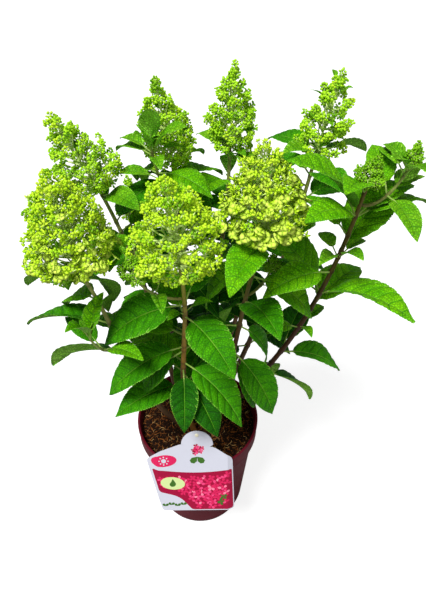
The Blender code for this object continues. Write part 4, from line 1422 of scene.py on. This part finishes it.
piece("flower_stalks", stalk_heap.mesh("flower_stalks", [STALK]), head_nodes)
bud = ball_shape("bud", (1.0, 1.0, 1.12))
for number, (spots, finish) in enumerate(zip(bud_spots, BUDS)):
    for part in range(0, len(spots), MOST_BUDS):
        name = f"buds_{number}_{part // MOST_BUDS}"
        piece(name, copies(name, bud, spots[part : part + MOST_BUDS], finish, dice), head_nodes)
# A small floret is still half closed, with pointed sepals. A large one is open, and its sepals overlap.
shapes = (
    floret_shape([(0.08, 0.14), (0.42, 0.36), (0.76, 0.26)], 0.75),
    floret_shape([(0.06, 0.16), (0.30, 0.52), (0.62, 0.66), (0.90, 0.44)], 0.14),
)
for number, (floret, finish) in enumerate(zip(shapes, SEPALS)):
    name = f"florets_{number}"
    spots = [(place, way, size / 2) for place, way, size in floret_spots if (size >= OPEN) == (number == 1)]
    piece(name, copies(name, floret, spots, finish, dice), head_nodes)

# %% [markdown]
# ## The pot
#
# A grower's pot is injection moulded from recycled plastic: thin, dark, with a slightly uneven satin skin
# and a stepped lip that stiffens the rim. Its outline is turned once round the axis. Small round edges catch
# the light where the solid has sharp ones.

# %% Turn the pot
def turned_faces(rings, sides):
    """Faces from a first point on the axis over rings of points to a last one, in the order of the points."""
    faces = [(0, 1 + (i + 1) % sides, 1 + i) for i in range(sides)]
    last = 1 + (rings - 1) * sides
    for a in range(1, last, sides):
        for i in range(sides):
            j = (i + 1) % sides
            faces.append((a + i, a + j, a + sides + j, a + sides + i))
    return faces + [(last + i, last + (i + 1) % sides, last + sides) for i in range(sides)]


def lathe(profile, sides):
    """A closed surface turned about Z, from radii and heights whose first and last lie on the axis."""
    turns = np.arange(sides) * 2 * math.pi / sides
    ring = np.stack([np.cos(turns), np.sin(turns), np.zeros(sides)], axis=1)
    points = [np.array([[0, 0, profile[0][1]]])]
    points += [ring * radius + [0, 0, height] for radius, height in profile[1:-1]]
    points.append(np.array([[0, 0, profile[-1][1]]]))
    return np.concatenate(points), turned_faces(len(profile) - 2, sides)


def round_corner(before, corner, after, radius, steps=5):
    """Points of a small curve in place of a corner."""
    before, corner, after = Vector(before), Vector(corner), Vector(after)
    start = corner + (before - corner).normalized() * radius
    end = corner + (after - corner).normalized() * radius
    shares = [t / steps for t in range(steps + 1)]
    return [tuple(start.lerp(corner, t).lerp(corner.lerp(end, t), t)) for t in shares]


def rounded(corners, closed=True):
    """An outline from corners that each have a radius."""
    spots = [corner[:2] for corner in corners]
    made = []
    for k, (x, y, radius) in enumerate(corners):
        if radius and (closed or 0 < k < len(corners) - 1):
            made += round_corner(spots[k - 1], (x, y), spots[(k + 1) % len(spots)], radius)
        else:
            made.append((x, y))
    return made


def pot_radius(height):
    """The outside radius of the pot's wall under its lip."""
    top = RIM_RADIUS - LIP_STEP
    return BASE_RADIUS + (top - BASE_RADIUS) * height / POT_HEIGHT


lip_foot = POT_HEIGHT - LIP_HEIGHT
bead = lip_foot + 24 * MM
pot_outline = rounded(
    [
        (0, 0, 0),
        (BASE_RADIUS - 2 * MM, 0, 2 * MM),
        (pot_radius(9 * MM), 9 * MM, 4 * MM),
        (pot_radius(lip_foot), lip_foot, 1 * MM),
        (RIM_RADIUS - 1 * MM, lip_foot + 0.5 * MM, 1.2 * MM),
        (RIM_RADIUS - 1.2 * MM, bead, 0.4 * MM),
        (RIM_RADIUS, bead + 1 * MM, 0.4 * MM),
        (RIM_RADIUS, POT_HEIGHT, 1.2 * MM),
        (RIM_RADIUS - LIP_STEP, POT_HEIGHT - 0.3 * MM, 1 * MM),
        (pot_radius(lip_foot) - WALL, lip_foot, 1 * MM),
        (BASE_RADIUS - WALL, 6 * MM, 3 * MM),
        (BASE_RADIUS - 8 * MM, WALL, 3 * MM),
        (0, WALL, 0),
    ],
    closed=False,
)
# Recycled polypropylene: dyed dark red, satin, with flow marks a few centimetres long and fine scuffs.
MOULDED = {"IOR": 1.49, "Specular_IOR_Level": 0.1}
POT_PLASTIC = mottled("moulded polypropylene, dark red", "#560e1b", "#661625", 30, 0.5, 0.06, 2.5, **MOULDED)
pot = lone_mesh("pot_moulded", lathe(pot_outline, 144), [POT_PLASTIC], sharp=40)
piece("pot_moulded", pot, ["pot"])

# %% [markdown]
# ## The potting mix
#
# The mix is peat and coir with bits of bark. Close up it is a litter of crumbs with shreds and pale fibres
# lying over it. The ground of it is a disc with a rough surface. Geometry Nodes strew crumbs, shreds and
# fibres over the disc with fixed seeds.

# %% Lay the potting mix
MIX_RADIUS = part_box("potting_mix")[1][0] - 0.3 * MM
MIX_SKIRT = 20 * MM


def mix_ground(rings=46, sides=150):
    """The mix: rough on top, with a skirt and a flat underside that the pot hides."""
    dice = np.random.default_rng(SEED)
    waves = [(dice.uniform(60, 420), dice.uniform(0, 6.28), dice.uniform(0, 6.28)) for _ in range(26)]

    def top(x, y):
        rough = sum(np.sin(f * (x * math.cos(a) + y * math.sin(a)) + p) * 60 / f for f, a, p in waves)
        edge = np.clip((MIX_RADIUS - np.hypot(x, y)) / (12 * MM), 0, 1)
        return MIX_LEVEL + (0.55 * rough - 0.4) * MM * edge - 1.5 * MM * (1 - edge)

    turns = np.arange(sides) * 2 * math.pi / sides
    points = [np.array([[0, 0, top(np.zeros(1), np.zeros(1))[0]]])]
    for k in range(1, rings + 1):
        x, y = MIX_RADIUS * k / rings * np.cos(turns), MIX_RADIUS * k / rings * np.sin(turns)
        points.append(np.stack([x, y, top(x, y)], axis=1))
    foot = points[-1] * [0.97, 0.97, 0]
    foot[:, 2] = MIX_LEVEL - MIX_SKIRT
    points += [foot, np.array([[0, 0, MIX_LEVEL - MIX_SKIRT]])]
    # The points run from the top down, so the faces of an outline that climbs are turned round.
    faces = [(face[0], *reversed(face[1:])) for face in turned_faces(rings + 1, sides)]
    return np.concatenate(points), faces


def strewn_tree():
    """Geometry Nodes that strew a piece over faces that look up, with random turns and sizes in limits."""
    limits = [(name, "Float") for name in ("Per square metre", "Smallest", "Largest", "Lean")]
    tree, inputs = new_tree("strewn on a surface", "Ground", *limits, ("Seed", "Int"))
    lean, seed = inputs["Lean"], inputs["Seed"]
    normal = add(tree, "GeometryNodeInputNormal").outputs["Normal"]
    rise = add(tree, "ShaderNodeSeparateXYZ", {"Vector": normal}).outputs["Z"]
    level = add(tree, "ShaderNodeMath", {0: rise, 1: 0.5}, operation="GREATER_THAN").outputs[0]
    density = inputs["Per square metre"]
    where = {"Mesh": inputs["Ground"], "Selection": level, "Density": density, "Seed": seed}
    spots = add(tree, "GeometryNodeDistributePointsOnFaces", where)
    between = {2: inputs["Smallest"], 3: inputs["Largest"], "Seed": seed}
    size = add(tree, "FunctionNodeRandomValue", between, data_type="FLOAT")
    down = add(tree, "ShaderNodeMath", {0: lean, 1: -1.0}, operation="MULTIPLY").outputs[0]
    least = add(tree, "ShaderNodeCombineXYZ", {"X": down, "Y": down, "Z": -3.15}).outputs[0]
    most = add(tree, "ShaderNodeCombineXYZ", {"X": lean, "Y": lean, "Z": 3.15}).outputs[0]
    ends = {"Min": least, "Max": most, "Seed": seed}
    turn = add(tree, "FunctionNodeRandomValue", ends, data_type="FLOAT_VECTOR")
    turned = add(tree, "FunctionNodeEulerToRotation", {"Euler": turn.outputs[0]})
    piece_on_points(tree, inputs, spots.outputs["Points"], turned.outputs[0], size.outputs[1])
    return tree


def fibre_shape(bow):
    """A bent fibre with a length of 1."""
    path = [(x - 0.5, bow * math.sin(3.1 * x), 0.07 * math.sin(2.2 * x)) for x in np.linspace(0, 1, 5)]
    return lone_mesh("fibre", tube(path, [0.015, 0.045, 0.055, 0.04, 0.012], 4))


STREWN = strewn_tree()
# Damp peat is nearly black-brown and matt, and dries to warm brown on its crumbs. Shreds of bark are rust
# brown, and coir fibres tan.
PEAT = mottled("damp peat", "#120904", "#24130a", 3, 0.95, 0.5, 1.2)
CRUMBS = [
    mottled("dark peat crumb", "#1c0e06", "#38200f", 4, 0.95, 0.3, 0.8),
    mottled("brown bark crumb", "#4e2810", "#804a20", 4, 0.9, 0.3, 0.8),
]
FIBRES = [
    mottled("rust bark shred", "#6a3a18", "#a2642c", 6, 0.85, 0.2, 0.8),
    mottled("dry coir fibre", "#9c7440", "#d0ac74", 5, 0.8, 0.1, 0.8),
]
ground = lone_mesh("mix_ground", mix_ground(), [PEAT], sharp=50)
crumb = ball_shape("crumb", (1.2, 0.9, 0.6), random.Random(SEED))
# What is strewn: piece, finish, copies on a square metre, size in mm at least and at most, lean, and seed
LITTER = {
    "mix_crumbs_0": (crumb, CRUMBS[0], 80000, 0.6, 2.6, 3.15, SEED),
    "mix_crumbs_1": (crumb, CRUMBS[1], 30000, 0.6, 2.2, 3.15, SEED + 1),
    "mix_fibres_0": (fibre_shape(0.1), FIBRES[0], 30000, 3, 13, 0.35, SEED + 7),
    "mix_fibres_1": (fibre_shape(0.3), FIBRES[1], 9000, 3, 13, 0.35, SEED + 8),
}
for name, (shape, finish, density, smallest, largest, lean, seed) in LITTER.items():
    sizes = {"Smallest": smallest * MM, "Largest": largest * MM, "Lean": lean, "Seed": seed}
    mesh = mesh_from_nodes(STREWN, name, ground, shape, finish, Per_square_metre=density, **sizes)
    piece(name, mesh, ["potting_mix"])
piece("mix_ground", ground, ["potting_mix"])

# %% [markdown]
# ## Dry stubs
#
# A few dry, tan stalks of last year's growth stand among the feet of the canes.

# %% Dry stubs
stubs = Heap()
for k in range(7):
    angle = 2 * math.pi * k / 7 + dice.uniform(-0.3, 0.3)
    foot = Vector((math.cos(angle) * 21 * MM, math.sin(angle) * 17 * MM + 2 * MM, MIX_LEVEL - 3 * MM))
    lean = Vector((math.cos(angle) * 0.35 + dice.uniform(-0.2, 0.2), math.sin(angle) * 0.3, 1))
    length = dice.uniform(22, 52) * MM
    path = [foot + (lean * share + Vector((0, 0.1 * share**2, 0))) * length for share in (0, 0.35, 0.7, 1.0)]
    stubs.add(*tube(path, [1.1 * MM, 0.9 * MM, 0.75 * MM, 0.6 * MM], 6))
DRY = mottled("dry stalk", "#a07d4f", "#cdb183", 6, 0.75, 0.15, 1.2)
piece("dry_stubs", stubs.mesh("dry_stubs", [DRY]), ["potting_mix"])

# %% [markdown]
# ## The care label
#
# A die-cut plastic card leans on the rim, its two edges folded back round the pot, and a peg through its
# nose holds it to a slim stake. The print is a generic one: a field of pink four-petalled flowers, a flower
# with two leaves, a row of leaflets, and two badges with a sun and a drop. Each printed shape is a thin
# plate on the card, so its edge stays crisp at any distance.

# %% The card
CARD = 0.8 * MM
INK_DEPTH = 0.05 * MM
FOLD_RISE = math.tan(math.radians(26))
# The card leans on the rim's front, tilted back. Past its folds it bends back round the pot.
CARD_FRONT = -RIM_RADIUS - LABEL_THICKNESS / 2 - GAP - 0.7 * MM
CARD_PLACE = Matrix.Translation((LABEL_SHIFT, CARD_FRONT, POT_HEIGHT)) @ Matrix.Rotation(-LABEL_TILT, 4, "X")
# Its film is white with a hint of lavender and as glossy as the inks.
INK = {
    "white": "#c9cad6",
    "deep": "#9c1038",
    "pink": "#d42459",
    "rose": "#e8447a",
    "blush": "#f47f9e",
    "green": "#3f6a28",
    "pale green": "#cddf9a",
}
INKS = [
    mottled(f"{name} ink on film", code, code, 20, 0.35, 0.01, 3, IOR=1.5) for name, code in INK.items()
]
card = Heap()


def outline_in_mm(corners):
    """An outline from corners and radii in mm."""
    return rounded([(x * MM, z * MM, radius * MM) for x, z, radius in corners])


def card_outline():
    """A tapering body with round corners, and a round nose at the top."""
    turns = np.arange(25) * math.pi / 24
    nose = zip(NOSE_MIDDLE + NOSE_RADIUS * np.cos(turns), NOSE_LEVEL + NOSE_RADIUS * np.sin(turns))
    return outline_in_mm(LABEL_SIDES) + list(nose)


def on_card(x, z, front):
    """A point in space from its place in the card's plane and how far it lies before the card's middle."""
    back = max(0.0, abs(x) - LABEL_FOLD) * FOLD_RISE
    return CARD_PLACE @ Vector((x, back - front, z))


def plate(outline, front, tone, depth=INK_DEPTH):
    """A flat closed piece of the card, in one tone, from its front face back by its depth."""
    bm = bmesh.new()
    bm.faces.new([bm.verts.new((x, z, 0)) for x, z in outline])
    for x in (-LABEL_FOLD, LABEL_FOLD):
        everything = bm.verts[:] + bm.edges[:] + bm.faces[:]
        bmesh.ops.bisect_plane(bm, geom=everything, plane_co=(x, 0, 0), plane_no=(1, 0, 0))
    bmesh.ops.triangulate(bm, faces=bm.faces)
    bm.verts.index_update()
    flat = [v.co.xy for v in bm.verts]
    faces = [tuple(v.index for v in face.verts) for face in bm.faces]
    edges = [tuple(v.index for v in edge.verts) for edge in bm.edges if len(edge.link_faces) == 1]
    bm.free()
    count = len(flat)
    points = [on_card(x, z, level) for level in (front, front - depth) for x, z in flat]
    faces += [tuple(i + count for i in reversed(face)) for face in faces]
    faces += [(a, b, b + count, a + count) for a, b in edges]
    points, faces = outward((points, faces))
    card.add([tuple(p) for p in points], faces, list(INK).index(tone))


def oval(x, z, wide, tall, turn=0.0, steps=28):
    """An ellipse's outline. Its sizes are half-widths in metres."""
    c, s = math.cos(turn), math.sin(turn)
    spots = [(wide * math.cos(t), tall * math.sin(t)) for t in np.arange(steps) * 2 * math.pi / steps]
    return [(x + a * c - b * s, z + a * s + b * c) for a, b in spots]


def petal_outline(x, z, size, turn):
    """One rounded petal that grows from a point."""
    spots = [(0, 0), (0.45, 0.34), (0.85, 0.30), (1.0, 0.0), (0.85, -0.30), (0.45, -0.34)]
    c, s = math.cos(turn), math.sin(turn)
    return [(x + size * (a * c - b * s), z + size * (a * s + b * c)) for a, b in spots]


face = CARD / 2
plate(card_outline(), face, "white", CARD)
# The printed field: its corners in mm with a radius each
FIELD_SIDES = (
    (-60, 2, 3),
    (-50, -37, 5),
    (-20, -46, 12),
    (-2, -69.5, 4),
    (59.5, -69.5, 4),
    (57, 1, 3),
    (6, -5, 30),
)
picture = outline_in_mm(FIELD_SIDES)
plate(picture, face + 0.05 * MM, "deep", 0.07 * MM)


def inside(x, z, outline):
    """Whether a point lies in an outline."""
    found = False
    for (x1, z1), (x2, z2) in zip(outline, outline[1:] + outline[:1]):
        if (z1 > z) != (z2 > z) and x < (x2 - x1) * (z - z1) / (z2 - z1) + x1:
            found = not found
    return found


def blossom(x, z, size, turn, tones, front):
    """Four petals round a point, each in one of the tones."""
    for k in range(4):
        petal = petal_outline(x, z, size, turn + k * math.pi / 2)
        plate(petal, front, print_dice.choice(tones))


print_dice = random.Random(SEED)
layer = 0
for row in range(9):
    for column in range(14):
        x = (-58 + 9.4 * column + 4.7 * (row % 2) + print_dice.uniform(-1.4, 1.4)) * MM
        z = (2 - 8.2 * row + print_dice.uniform(-1.4, 1.4)) * MM
        size = print_dice.uniform(5.2, 6.4) * MM
        if not all(inside(x + a * size, z + b * size, picture) for a in (-1, 1) for b in (-1, 1)):
            continue
        layer += 1
        leafy = x > 36 * MM and z < -38 * MM and print_dice.random() < 0.6
        tones = ["green"] if leafy else ["pink"] * 5 + ["rose", "rose", "deep", "blush"]
        blossom(x, z, size, print_dice.uniform(0, 1.6), tones, face + (0.08 + 0.004 * (layer % 9)) * MM)

badge = face + 0.16 * MM
raised = badge + 0.03 * MM
sun, sap = (-42 * MM, 17 * MM), (-30 * MM, -22 * MM)
plate(oval(*sun, 19 * MM, 10 * MM, 0.12), badge, "pink")
plate(oval(*sun, 3.6 * MM, 3.6 * MM), raised, "white")
for k in range(8):
    turn = k * math.pi / 4
    root = (sun[0] + 4.8 * MM * math.cos(turn), sun[1] + 4.8 * MM * math.sin(turn))
    plate(petal_outline(*root, 3 * MM, turn), raised, "white")
plate(oval(*sap, 18 * MM, 11 * MM, -0.12), badge, "pale green")
drop = [(sap[0], sap[1] + 8 * MM)] + oval(sap[0], sap[1] - 1.5 * MM, 4.4 * MM, 4.8 * MM, 2.2, 20)[:16]
plate(drop, raised, "green")
for k in range(9):
    turn, far = 2.4 * k, 2.6 * math.sqrt(k) * MM
    spot = (NOSE_MIDDLE + far * math.cos(turn), 36 * MM + far * math.sin(turn))
    blossom(*spot, 4 * MM, 0.7 * k, ["pink", "deep", "rose"], badge + 0.004 * k * MM)
for turn in (-2.3, -0.85):
    plate(petal_outline(NOSE_MIDDLE, 24 * MM, 14 * MM, turn), badge, "green")
for k, x in enumerate((-42, -33, -24, -15)):
    for side in (-1, 1):
        leaflet = petal_outline(x * MM, (-63 + 2 * (k % 2)) * MM, 6 * MM, math.pi / 2 + side * 0.75)
        plate(leaflet, badge, "green")
piece("label_card", card.mesh("label_card", INKS, sharp=25), ["label"])

# %% The stake and its peg
peg_level = NOSE_LEVEL + NOSE_RADIUS - 7 * MM
stake_top = CARD_PLACE @ Vector((NOSE_MIDDLE, LABEL_THICKNESS / 2 + GAP + 0.2 * MM, NOSE_LEVEL + 7 * MM))
stake_foot = Vector((stake_top.x, stake_top.y + 0.5 * MM, MIX_LEVEL + GAP))
stake = Heap()


def bar(heap, foot, top, wide, deep, edge):
    """A flat stick between two points, with its long edges rounded off."""
    half = wide / 2
    section = rounded([(-half, 0, edge), (half, 0, edge), (half, deep, edge), (-half, deep, edge)])
    points = [tuple(end + Vector((x, y, 0))) for end in (foot, top) for x, y in section]
    heap.add(points, rings_to_faces(2, len(section)))


bar(stake, stake_foot, stake_top, STAKE_WIDTH, 1.6 * MM, 0.5 * MM)
peg_back = CARD_PLACE @ Vector((NOSE_MIDDLE, CARD / 2 + 0.5 * MM, peg_level))
peg_front = CARD_PLACE @ Vector((NOSE_MIDDLE, -CARD / 2 - 1.1 * MM, peg_level))
peg_line = [peg_back.lerp(peg_front, share) for share in (0, 0.6, 0.85, 1)]
stake.add(*tube(peg_line, [2.8 * MM, 2.8 * MM, 2.4 * MM, 1.3 * MM], 20))
IVORY = mottled("moulded ivory plastic", "#e6dfc0", "#f1ecd4", 25, 0.4, 0.04, 2.0, IOR=1.49)
piece("label_holder", stake.mesh("label_holder", [IVORY], sharp=40), ["label_stake"])

# %% [markdown]
# ## Finished
#
# Every piece of the plant is now in the scene.

# %% Finish
print("the plant is ready to render")
